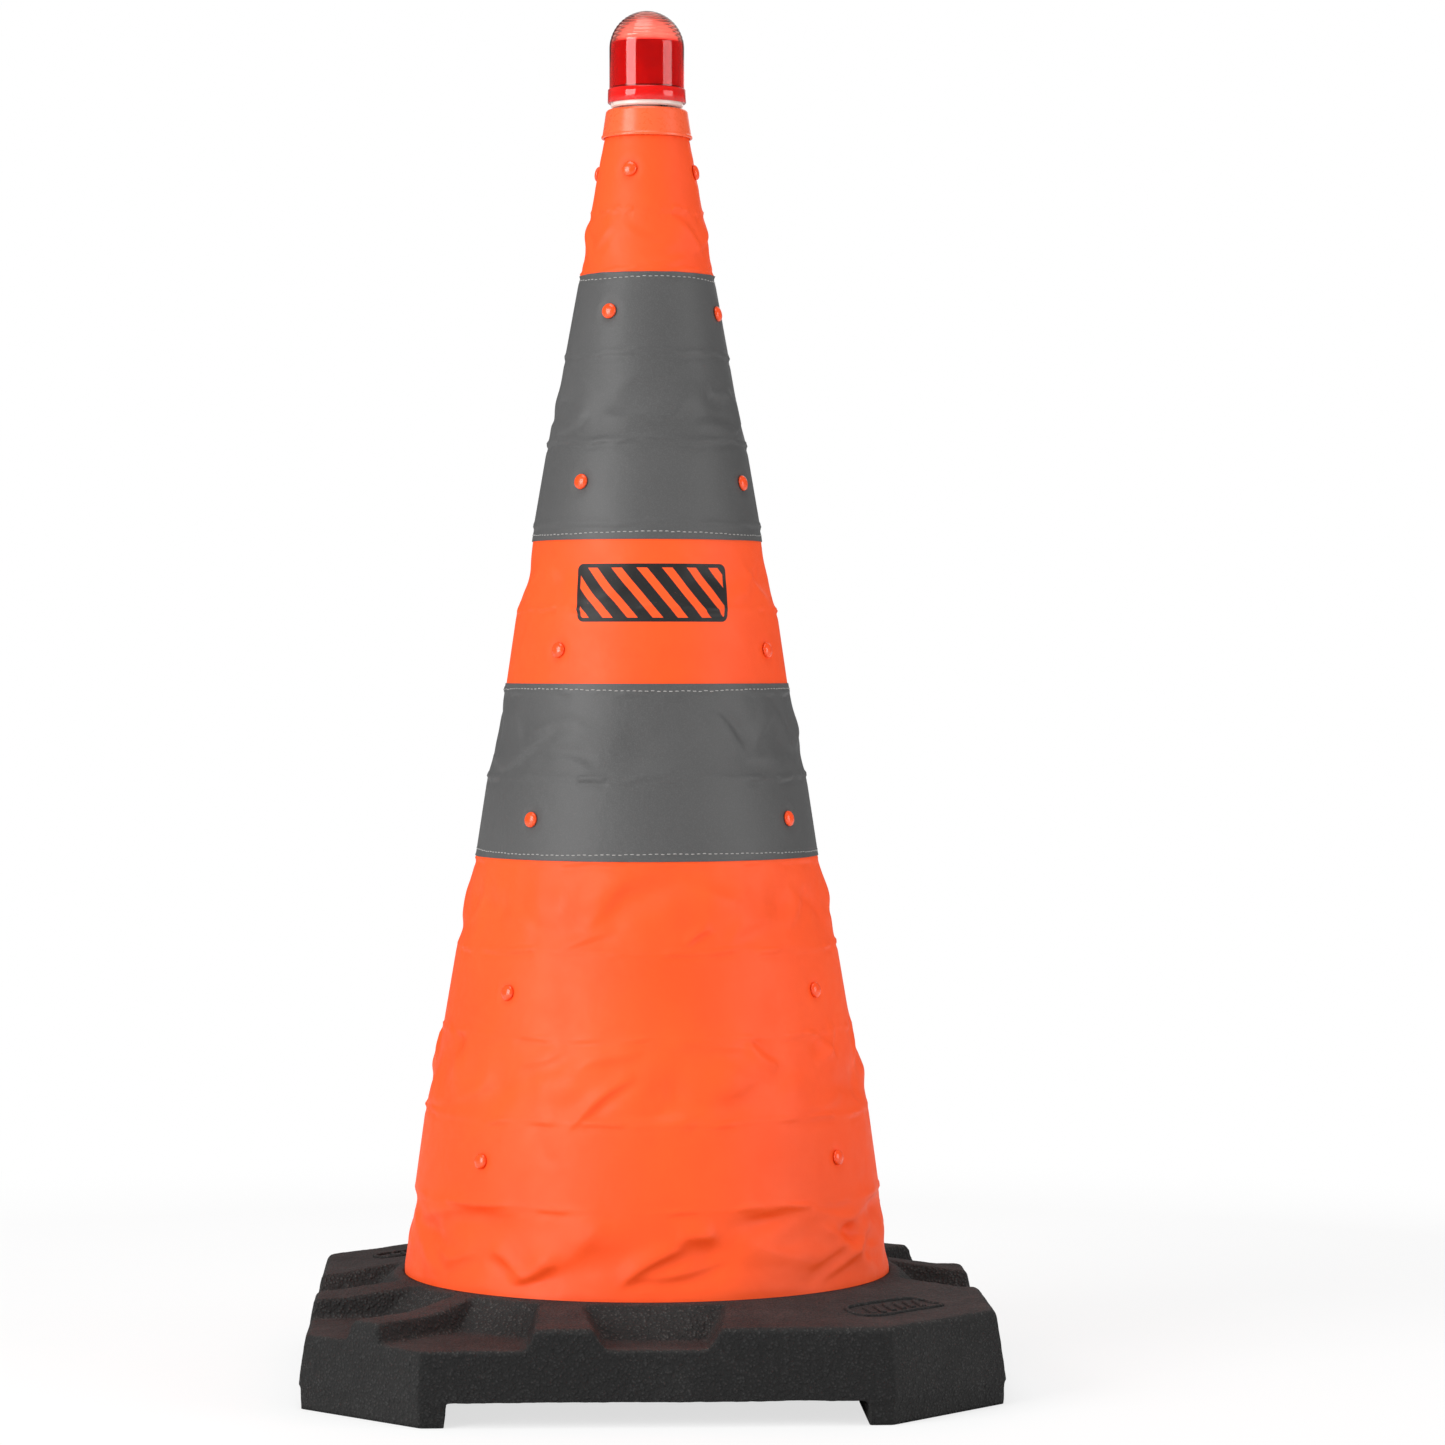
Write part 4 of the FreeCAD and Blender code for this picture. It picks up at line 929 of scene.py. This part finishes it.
for k in range(1, 9):
    piece = sheet("sleeve_cloth_%d" % k, BOUNDS[k - 1], BOUNDS[k], 0.0, CLOTH_THICK,
                  M_PRINT if k == 5 else M_ORANGE, under=(BAND_LOW, BAND_HIGH))
    if k == 8:
        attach(piece, "ring_7")
        continue
    blend_to(piece, k)
    hem = ["sleeve_hem"] if k == 1 else []
    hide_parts(*hem, "sleeve_fold_%d" % k, "sleeve_panel_%d" % k)

# band pieces: name, lower and upper edge, the hoop number given to blend_to, CAD pieces they replace
for name, low, high, k, replaced in (
        ("reflective_band_low", *BAND_LOW, 4, ("band_panel_3", "band_fold_4")),
        ("reflective_band_high_lower", BAND_HIGH[0], BOUNDS[5], 5,
         ("band_fold_5", "band_panel_5")),
        ("reflective_band_high_upper", BOUNDS[5], BAND_HIGH[1], 6,
         ("band_fold_6", "band_panel_6"))):
    piece = sheet(name, low, high, BAND_LIFT, BAND_THICK, M_GREY)
    blend_to(piece, k)
    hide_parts(*replaced)


# ------------------------------------------------------------------ stitching
STITCH_PITCH, THREAD_R = 3.3 * MM, 0.23 * MM
STITCH_STEPS, STITCH_SIDES = 6, 6


def stitch_row(name, z, k):
    """A row of lockstitches round the cone, each a short sunk-ended thread."""
    count = int(TAU * float(radius(z)) / STITCH_PITCH)
    verts, faces = [], []
    wobble = RNG.uniform(-0.00018, 0.00018, count)
    for i in range(count):
        start, end = TAU * (i + 0.10) / count, TAU * (i + 0.90) / count
        mid_z = z + wobble[i] + 0.0006 * math.sin(3 * start + z * 40)
        points = surface(np.array([mid_z - 0.0004, mid_z, mid_z + 0.0004]),
                         np.linspace(start, end, STITCH_STEPS))
        up = points[2] - points[0]
        along = np.gradient(points[1], axis=0)
        normal = np.cross(along, up)
        normal /= np.linalg.norm(normal, axis=1, keepdims=True)
        up = up / np.linalg.norm(up, axis=1, keepdims=True)
        up = up + 0.10 * along / np.linalg.norm(along, axis=1, keepdims=True)
        base = len(verts)
        for s in range(STITCH_STEPS):
            bow = math.sin(math.pi * (s / 5.0))
            thick = THREAD_R * (0.45 + 0.55 * bow ** 0.5)
            centre = points[1][s] + normal[s] * (BAND_LIFT + (bow - 0.75) * 0.33 * MM)
            for q in range(STITCH_SIDES):
                turn = TAU * q / STITCH_SIDES
                verts.append(centre + (up[s] * math.cos(turn) * 1.15
                                       + normal[s] * math.sin(turn) * 0.9) * thick)
        faces += tube_sides(base, STITCH_STEPS, STITCH_SIDES)
        faces.append(tuple(range(base + STITCH_SIDES - 1, base - 1, -1)))
        faces.append(tuple(range(len(verts) - STITCH_SIDES, len(verts))))
    piece = solid(name, verts, faces, M_THREAD)
    blend_to(piece, k)


# height of each row and the hoop number given to blend_to
stitch_row("stitch_low_bottom", z=0.2946, k=4)
stitch_row("stitch_low_top", z=0.3840, k=4)
stitch_row("stitch_high_bottom", z=0.4705, k=5)
stitch_row("stitch_high_top", z=0.6128, k=6)


# --------------------------------------------------------------------- rivets
HEAD_R, HEAD_RIM, DOME = 0.0043, 0.0005, 0.0020
# (radius, height along the rivet) from its inner end out to the head, then the domed head
RIVET_PROFILE = [
    (0.0, -0.0046), (0.0030, -0.0046), (0.0034, -0.0042), (0.0034, -0.0030), (0.0019, -0.0030),
    (0.0019, -0.0003), (0.0039, -0.0003), (HEAD_R, 0.0001), (HEAD_R, HEAD_RIM),
    *[(HEAD_R * math.cos(math.pi / 2 * s / 8), HEAD_RIM + DOME * math.sin(math.pi / 2 * s / 8))
      for s in range(1, 8)],
    (0.0, HEAD_RIM + DOME)]


def rivet_set(k):
    mid_z = hoop_mid(k)
    low, high = HOOP[k]
    narrowing = float(radius(low + 0.003) - radius(high - 0.003))
    lean = math.atan2(narrowing, high - low - 0.006)
    # hoops 3, 5 and 6 lie under a band
    out = float(radius(mid_z)) + (BAND_LIFT if k in (3, 5, 6) else 0.0)
    verts, faces = [], []
    for angle in RIVETS[k]:
        axis = Vector((math.cos(angle) * math.cos(lean), math.sin(angle) * math.cos(lean),
                       math.sin(lean)))
        centre = Vector((out * math.cos(angle), out * math.sin(angle), mid_z))
        turn = Vector((0, 0, 1)).rotation_difference(axis).to_matrix()
        add_turned(verts, faces, RIVET_PROFILE, segments=28,
                   place=lambda *point: centre + turn @ Vector(point))
    piece = solid("rivets_%d" % k, verts, faces, M_RIVET, sharp=50)
    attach(piece, "ring_%d" % k)
    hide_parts("hoop_%d_rivets" % k)


for k in range(1, 8):
    rivet_set(k)


# ---------------------------------------------------------------- rubber base
WELL_R = 0.13665          # bore that takes the sleeve's hem
BRIM_IN, BRIM_OUT, BRIM_Z = 0.1374, 0.1402, 0.0576
MOST_TRIANGLES = 176000.0
# hand-made unevenness of a recycled rubber moulding: (amount, scale, seed)
RUBBER_LUMPS = [(0.00040, 33, 5.5), (0.00016, 130, 1.5), (0.00013, 420, 4.5)]


def swap_mesh(piece):
    """Bakes the modifiers into a new mesh in place of the old one."""
    baked = evaluated(piece)
    piece.modifiers.clear()
    old = piece.data
    piece.data = baked
    bpy.data.meshes.remove(old)
    return baked


def rubber_base():
    source = NODES["base_moulding"]
    mesh = source.data.copy()
    mesh.transform(source.matrix_world)
    piece = bpy.data.objects.new("base_rubber", mesh)
    SCENE.collection.objects.link(piece)
    remesh = piece.modifiers.new("r", "REMESH")
    remesh.mode = "VOXEL"
    remesh.voxel_size = 0.00145
    remesh.adaptivity = 0.0
    soften = piece.modifiers.new("s", "SMOOTH")
    soften.factor = 0.5
    soften.iterations = 9
    mesh = swap_mesh(piece)
    count = len(mesh.vertices)
    points, normals = np.zeros(count * 3), np.zeros(count * 3)
    mesh.vertices.foreach_get("co", points)
    mesh.vertices.foreach_get("normal", normals)
    points, normals = points.reshape(-1, 3), normals.reshape(-1, 3)
    out, z = np.hypot(points[:, 0], points[:, 1]), points[:, 2]
    # the feet stand flat and the well that takes the sleeve's hem is a true bore
    wall = (out > 0.1345) & (out < BRIM_IN) & (z > 0.0215)
    points[:, :2] *= (np.where(wall, WELL_R, out) / np.maximum(out, 1e-9))[:, None]
    brim = (out > 0.1345) & (out < BRIM_OUT) & (z > 0.0552)
    ease = smooth((BRIM_OUT - out) / 0.0022)
    sloped = BRIM_Z - 0.16 * np.maximum(out - BRIM_IN, 0)
    points[:, 2] = np.where(brim, z + (sloped - z) * ease, z)
    for i, (x, y, z) in enumerate(points):
        if z > 0.0015 and out[i] > 0.1385:
            points[i] += normals[i] * lumps(x, y, z, RUBBER_LUMPS)
    points[points[:, 2] < 0.0011, 2] = 0.0
    mesh.vertices.foreach_set("co", points.ravel())
    mesh.update()
    thin = piece.modifiers.new("d", "DECIMATE")
    thin.ratio = min(1.0, MOST_TRIANGLES / max(1, 2 * len(mesh.polygons)))
    mesh = swap_mesh(piece)
    mesh.materials.clear()
    mesh.materials.append(M_RUBBER)
    mesh.polygons.foreach_set("use_smooth", [True] * len(mesh.polygons))
    mesh.update()
    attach(piece, "base")
    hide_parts("base_moulding")
    return piece


base_mesh = rubber_base().data
bpy.context.view_layer.update()
BASE_TREE = BVHTree.FromPolygons([v.co for v in base_mesh.vertices],
                                 [tuple(p.vertices) for p in base_mesh.polygons])


def ground(x, y):
    hit = BASE_TREE.ray_cast(Vector((x, y, 0.2)), Vector((0, 0, -1)))
    return hit[0].z if hit[0] is not None else 0.05


LINE_HALF, LINE_TALL = 0.0016, 0.0013
# section of a raised line: share of its half-width to the side, height over the rubber
LINE_SECTION = [(-1.0, -0.0012), (-0.72, 0.55 * LINE_TALL), (-0.3, LINE_TALL),
                (0.3, LINE_TALL), (0.72, 0.55 * LINE_TALL), (1.0, -0.0012), (0.0, -0.0016)]


def raised_lines(name, loops):
    """Moulded raised lines that lie on the rubber's top."""
    verts, faces = [], []
    sides = len(LINE_SECTION)
    for loop, closed in loops:
        base, count = len(verts), len(loop)
        for i in range(count):
            ahead = loop[(i + 1) % count if closed or i < count - 1 else i]
            behind = loop[i - 1 if closed or i > 0 else i]
            way = np.array(ahead) - np.array(behind)
            way = way / np.linalg.norm(way)
            side = np.array([-way[1], way[0]])
            for offset, rise in LINE_SECTION:
                x, y = np.array(loop[i]) + side * offset * LINE_HALF
                verts.append((x, y, ground(x, y) + rise))
        faces += tube_sides(base, count, sides, closed)
        if not closed:
            faces.append(tuple(range(base, base + sides)))
            faces.append(tuple(range(len(verts) - 1, len(verts) - sides - 1, -1)))
    return solid(name, verts, faces, M_RUBBER)


def rounded_rect(width, height, corner, step=0.0012):
    points = []
    for side_x, side_y, first in ((1, 1, 0), (-1, 1, 90), (-1, -1, 180), (1, -1, 270)):
        for s in range(7):
            angle = math.radians(first + 90 * s / 6)
            points.append(((width / 2 - corner) * side_x + corner * math.cos(angle),
                           (height / 2 - corner) * side_y + corner * math.sin(angle)))
    dense = []
    for (x, y), (next_x, next_y) in zip(points, points[1:] + points[:1]):
        count = max(1, int(math.hypot(next_x - x, next_y - y) / step))
        for s in range(count):
            dense.append((x + (next_x - x) * s / count, y + (next_y - y) * s / count))
    return dense


def badge(name, side_x, side_y):
    """Blank moulded panel with six slanting bars on a broad corner of the base."""
    corner = math.atan2(side_y, side_x)
    at = corner + math.radians(2.2)
    centre_x, centre_y = 0.1770 * math.cos(at), 0.1770 * math.sin(at)
    cosine, sine = math.cos(corner + math.pi / 2), math.sin(corner + math.pi / 2)

    def placed(points):
        return [(centre_x + x * cosine - y * sine, centre_y + x * sine + y * cosine)
                for x, y in points]

    loops = [(placed(rounded_rect(width=0.062, height=0.024, corner=0.009)), True)]
    for i in range(6):
        middle = -0.0205 + 0.0082 * i
        bar = [(middle + 0.0028 * f, 0.0062 * f) for f in np.linspace(-1, 1, 10)]
        loops.append((placed(bar), False))
    piece = raised_lines(name, loops)
    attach(piece, "base")


badge("base_panel_front", 1, -1)
badge("base_panel_back", -1, 1)


# ---------------------------------------------------------------------- spring
def spring():
    """Conical coil spring, its first and last turns flat."""
    low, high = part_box("coil_spring")
    wire, sides, turns, per_turn = 0.0015, 12, 9.0, 64
    foot_r, top_r = min(high[0] - wire, 0.118), 0.0166
    foot_z, top_z = low[2] + wire, high[2] - wire
    count = int(turns * per_turn)
    points = []
    for i in range(count + 1):
        turn = turns * i / count
        share = min(max((turn - 1.0) / (turns - 2.0), 0.0), 1.0)
        rise = share * share * (3 - 2 * share) * 0.25 + share * 0.75
        around = foot_r + (top_r - foot_r) * share
        points.append(np.array([around * math.cos(TAU * turn), around * math.sin(TAU * turn),
                                foot_z + (top_z - foot_z) * rise]))
    points = points[6:-6]
    verts = []
    for i, point in enumerate(points):
        way = points[min(i + 1, len(points) - 1)] - points[max(i - 1, 0)]
        way /= np.linalg.norm(way)
        outward = np.array([point[0], point[1], 0.0])
        outward /= np.linalg.norm(outward)
        outward -= way * (outward @ way)
        outward /= np.linalg.norm(outward)
        cross = np.cross(way, outward)
        for q in range(sides):
            angle = TAU * q / sides
            verts.append(point + (outward * math.cos(angle) + cross * math.sin(angle)) * wire)
    faces = tube_sides(0, len(points), sides)
    faces.append(tuple(range(sides - 1, -1, -1)))
    faces.append(tuple(range(len(verts) - sides, len(verts))))
    piece = solid("lifting_spring", verts, faces, M_SPRING)
    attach(piece, "base")
    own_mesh(piece)
    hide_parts("coil_spring")


spring()


# ------------------------------------------------------------ collar and lamp
def collar():
    low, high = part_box("top_collar")
    foot, top = low[2] / MM, high[2] / MM
    # radius and height in mm, outside up and back down the inside
    profile = metres([
        (24.05, foot), (25.6, foot), (25.6, foot + 1.3), (25.0, foot + 2.0), (23.0, top - 1.0),
        (22.1, top), (11.95, top), (11.95, top - 3.0), (20.8, top - 3.0), (20.8, foot + 4.1),
        (24.05, foot + 4.1)])
    corners = [0.0003, 0.0005, 0.0003, 0.0005, 0.0010, 0.0006, 0.0006, 0.0003, 0.0005, 0.0003,
               0.0003]
    piece = lathe("collar", round_profile(profile, corners), M_COLLAR, sharp=35)
    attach(piece, "ring_7")
    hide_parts("top_collar")


def lens():
    """Domed lens with a rim at its foot and fine ridges round the dome; sizes in mm."""
    low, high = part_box("lamp_lens")
    foot, top = low[2] / MM, high[2] / MM
    rim_z, dome_r, wall, rim_inner = 721.0, 21.1, 1.6, 20.35
    inner_r = dome_r - wall
    centre = top - dome_r
    outside = [(rim_inner, foot), (21.7, foot), (22.0, foot + 0.3), (22.0, rim_z - 0.45),
               (21.6, rim_z), (dome_r + 0.12, rim_z + 0.15)]
    outside += [(dome_r, rim_z + (centre - rim_z) * i / 12) for i in range(1, 13)]
    steps, ridge_steps, ridge_depth = 120, 8, 0.13
    for i in range(1, steps):
        angle = math.pi / 2 * i / steps
        groove = ridge_depth * (0.5 - 0.5 * math.cos(TAU * i / ridge_steps))
        out = dome_r - (0.0 if angle < 0.20 else groove)
        outside.append((out * math.cos(angle), centre + out * math.sin(angle)))
    outside.append((0.0, top))
    inside = [(0.0, top - wall)]
    for i in range(1, 32):
        angle = math.pi / 2 * (1 - i / 32)
        inside.append((inner_r * math.cos(angle), centre + inner_r * math.sin(angle)))
    inside += [(inner_r, centre), (inner_r, (centre + rim_z) / 2), (inner_r, rim_z - 0.1),
               (rim_inner, rim_z - 0.15)]
    piece = lathe("lens", metres(outside + inside), M_LENS, sharp=60)
    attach(piece, "lamp")
    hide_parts("lamp_lens")


collar()
lens()


# ---------------------------------------------- CAD pieces that keep their shape
def dress(name, material, bevel=0.0):
    piece = NODES[name]
    if not piece.material_slots:
        piece.data.materials.append(None)
    for slot in piece.material_slots:
        slot.link = "OBJECT"
        slot.material = material
    if bevel:
        # packed faces come apart at their hard edges, so they are joined before rounding
        join = piece.modifiers.new("join", "WELD")
        join.merge_threshold = 2e-6
        edge = piece.modifiers.new("edge", "BEVEL")
        edge.width = bevel
        edge.segments = 2
        edge.limit_method = "ANGLE"
        edge.angle_limit = math.radians(30)
        shade = piece.modifiers.new("shade", "WEIGHTED_NORMAL")
        shade.weight = 60
        shade.keep_sharp = True


for k in range(1, 8):
    dress("hoop_%d" % k, M_HOOP)
    dress("sleeve_panel_%d" % k, M_ORANGE)
    dress("sleeve_fold_%d" % k, M_ORANGE)
    dress("hoop_%d_rivets" % k, M_RIVET)
for name in ("panel_3", "panel_5", "panel_6", "fold_4", "fold_5", "fold_6"):
    dress("band_" + name, M_GREY)
# CAD piece, its material and the width of its bevel if it has one
for dressing in (
        ("sleeve_hem", M_ORANGE), ("base_moulding", M_RUBBER), ("coil_spring", M_SPRING),
        ("top_collar", M_COLLAR), ("lamp_lens", M_LENS), ("hem_tray", M_TRAY),
        ("tray_screws", M_STEEL), ("spring_clips", M_TRAY, 0.0004), ("lamp_socket", M_BLACK),
        ("lamp_stem", M_WHITE), ("switch_board", M_BOARD), ("tactile_switch", M_BLACK, 0.0002),
        ("led_plate", M_BOARD), ("leds", M_LED), ("inner_optic", M_OPTIC),
        ("battery_cells", M_CAN), ("contact_plate", M_BRASS), ("switch_button", M_BLACK, 0.0002),
        ("battery_cap", M_WHITE, 0.0003), ("cap_contact", M_BRASS)):
    dress(*dressing)


# ------------------------------------------------------------- floor and light
def floor():
    size = 40.0
    mesh = bpy.data.meshes.new("floor")
    mesh.from_pydata([(-size, -size, 0), (size, -size, 0), (size, size, 0), (-size, size, 0)],
                     [], [(0, 1, 2, 3)])
    piece = bpy.data.objects.new("floor", mesh)
    SCENE.collection.objects.link(piece)
    mat = Mat("floor_pale")
    place = mat.coord()
    mat.set(Base_Color=mat.vary(mat.noise(place, scale=3), (0.90, 0.90, 0.90), (0.92, 0.92, 0.92)),
            Roughness=0.9, Specular_IOR_Level=0.1)
    # towards the horizon the floor runs out into the white backdrop
    x, y, _ = mat.split(place)
    away = mat.calc("SQRT", mat.plus(mat.times(x, x), mat.times(y, y)))
    far = mat.ramp(away, (0.25, 1.1), smooth=True)
    path = mat.add("LightPath").outputs
    seen = mat.calc("MAXIMUM", path["Is Camera Ray"], path["Is Transmission Ray"])
    white = mat.add("Emission", (1, 1, 1), 1.0).outputs[0]
    least_white = 0.70
    both = mat.add("MixShader", mat.times(seen, mat.calc("MAXIMUM", far, least_white)),
                   mat.principled.outputs[0], white).outputs[0]
    mat.put(mat.tree.nodes["Material Output"].inputs[0], both)
    mesh.materials.append(mat.material)
    piece.location.z = -0.0002


def studio_world():
    """White where it is seen, dim where it would only be mirrored, soft fill for the rest."""
    white, soft, mirror_drop = 1.0, 0.50, 0.36
    world = bpy.data.worlds.new("studio")
    SCENE.world = world
    graph = Graph(world)
    background = graph.tree.nodes["Background"]
    graph.put(background.inputs[0], (1, 1, 1))
    path = graph.add("LightPath").outputs

    def calc(operation, first, second):
        return graph.calc(operation, first, second, third=None)

    seen = calc("MAXIMUM", path["Is Camera Ray"], path["Is Transmission Ray"])
    level = calc("SUBTRACT", soft, calc("MULTIPLY", path["Is Glossy Ray"], mirror_drop))
    level = calc("MAXIMUM", level, calc("MULTIPLY", seen, white))
    graph.put(background.inputs[1], level)


def area(name, place, target, size, power):
    """Area light of (width, height) that looks at the target."""
    light = bpy.data.lights.new(name, "AREA")
    light.shape = "RECTANGLE"
    light.size, light.size_y = size
    light.energy = power
    lamp = bpy.data.objects.new(name, light)
    SCENE.collection.objects.link(lamp)
    lamp.location = place
    way = Vector(target) - Vector(place)
    lamp.rotation_euler = way.to_track_quat("-Z", "Y").to_euler()


def camera():
    data = bpy.data.cameras.new("camera")
    data.sensor_width = 36.0
    data.lens = 112.1
    data.clip_end = 100
    piece = bpy.data.objects.new("camera", data)
    SCENE.collection.objects.link(piece)
    # the camera stands 1.6 degrees round to the left of the base's front
    orbit, away, height = math.radians(-1.6), 2.534, 0.400
    pitch_down, turn_right = 0.783, 0.961      # degrees
    piece.location = (away * math.sin(orbit), -away * math.cos(orbit), height)
    piece.rotation_euler = (math.radians(90 - pitch_down), 0.0,
                            math.radians(-turn_right) + orbit)
    SCENE.camera = piece


floor()
studio_world()
area("key", (-2.23, -1.74, 1.15), target=(0, 0, 0.34), size=(1.6, 1.9), power=70)
area("fill", (2.60, -1.20, 0.9), target=(0, 0, 0.32), size=(1.6, 1.6), power=30)
area("top", (-0.3, -0.5, 2.6), target=(0, 0, 0.2), size=(1.4, 1.4), power=18)
area("back", (0.4, 2.4, 1.6), target=(0, 0, 0.4), size=(1.6, 1.6), power=9)
camera()
SCENE.view_settings.view_transform = "Standard"
SCENE.view_settings.look = "None"

bpy.context.view_layer.update()
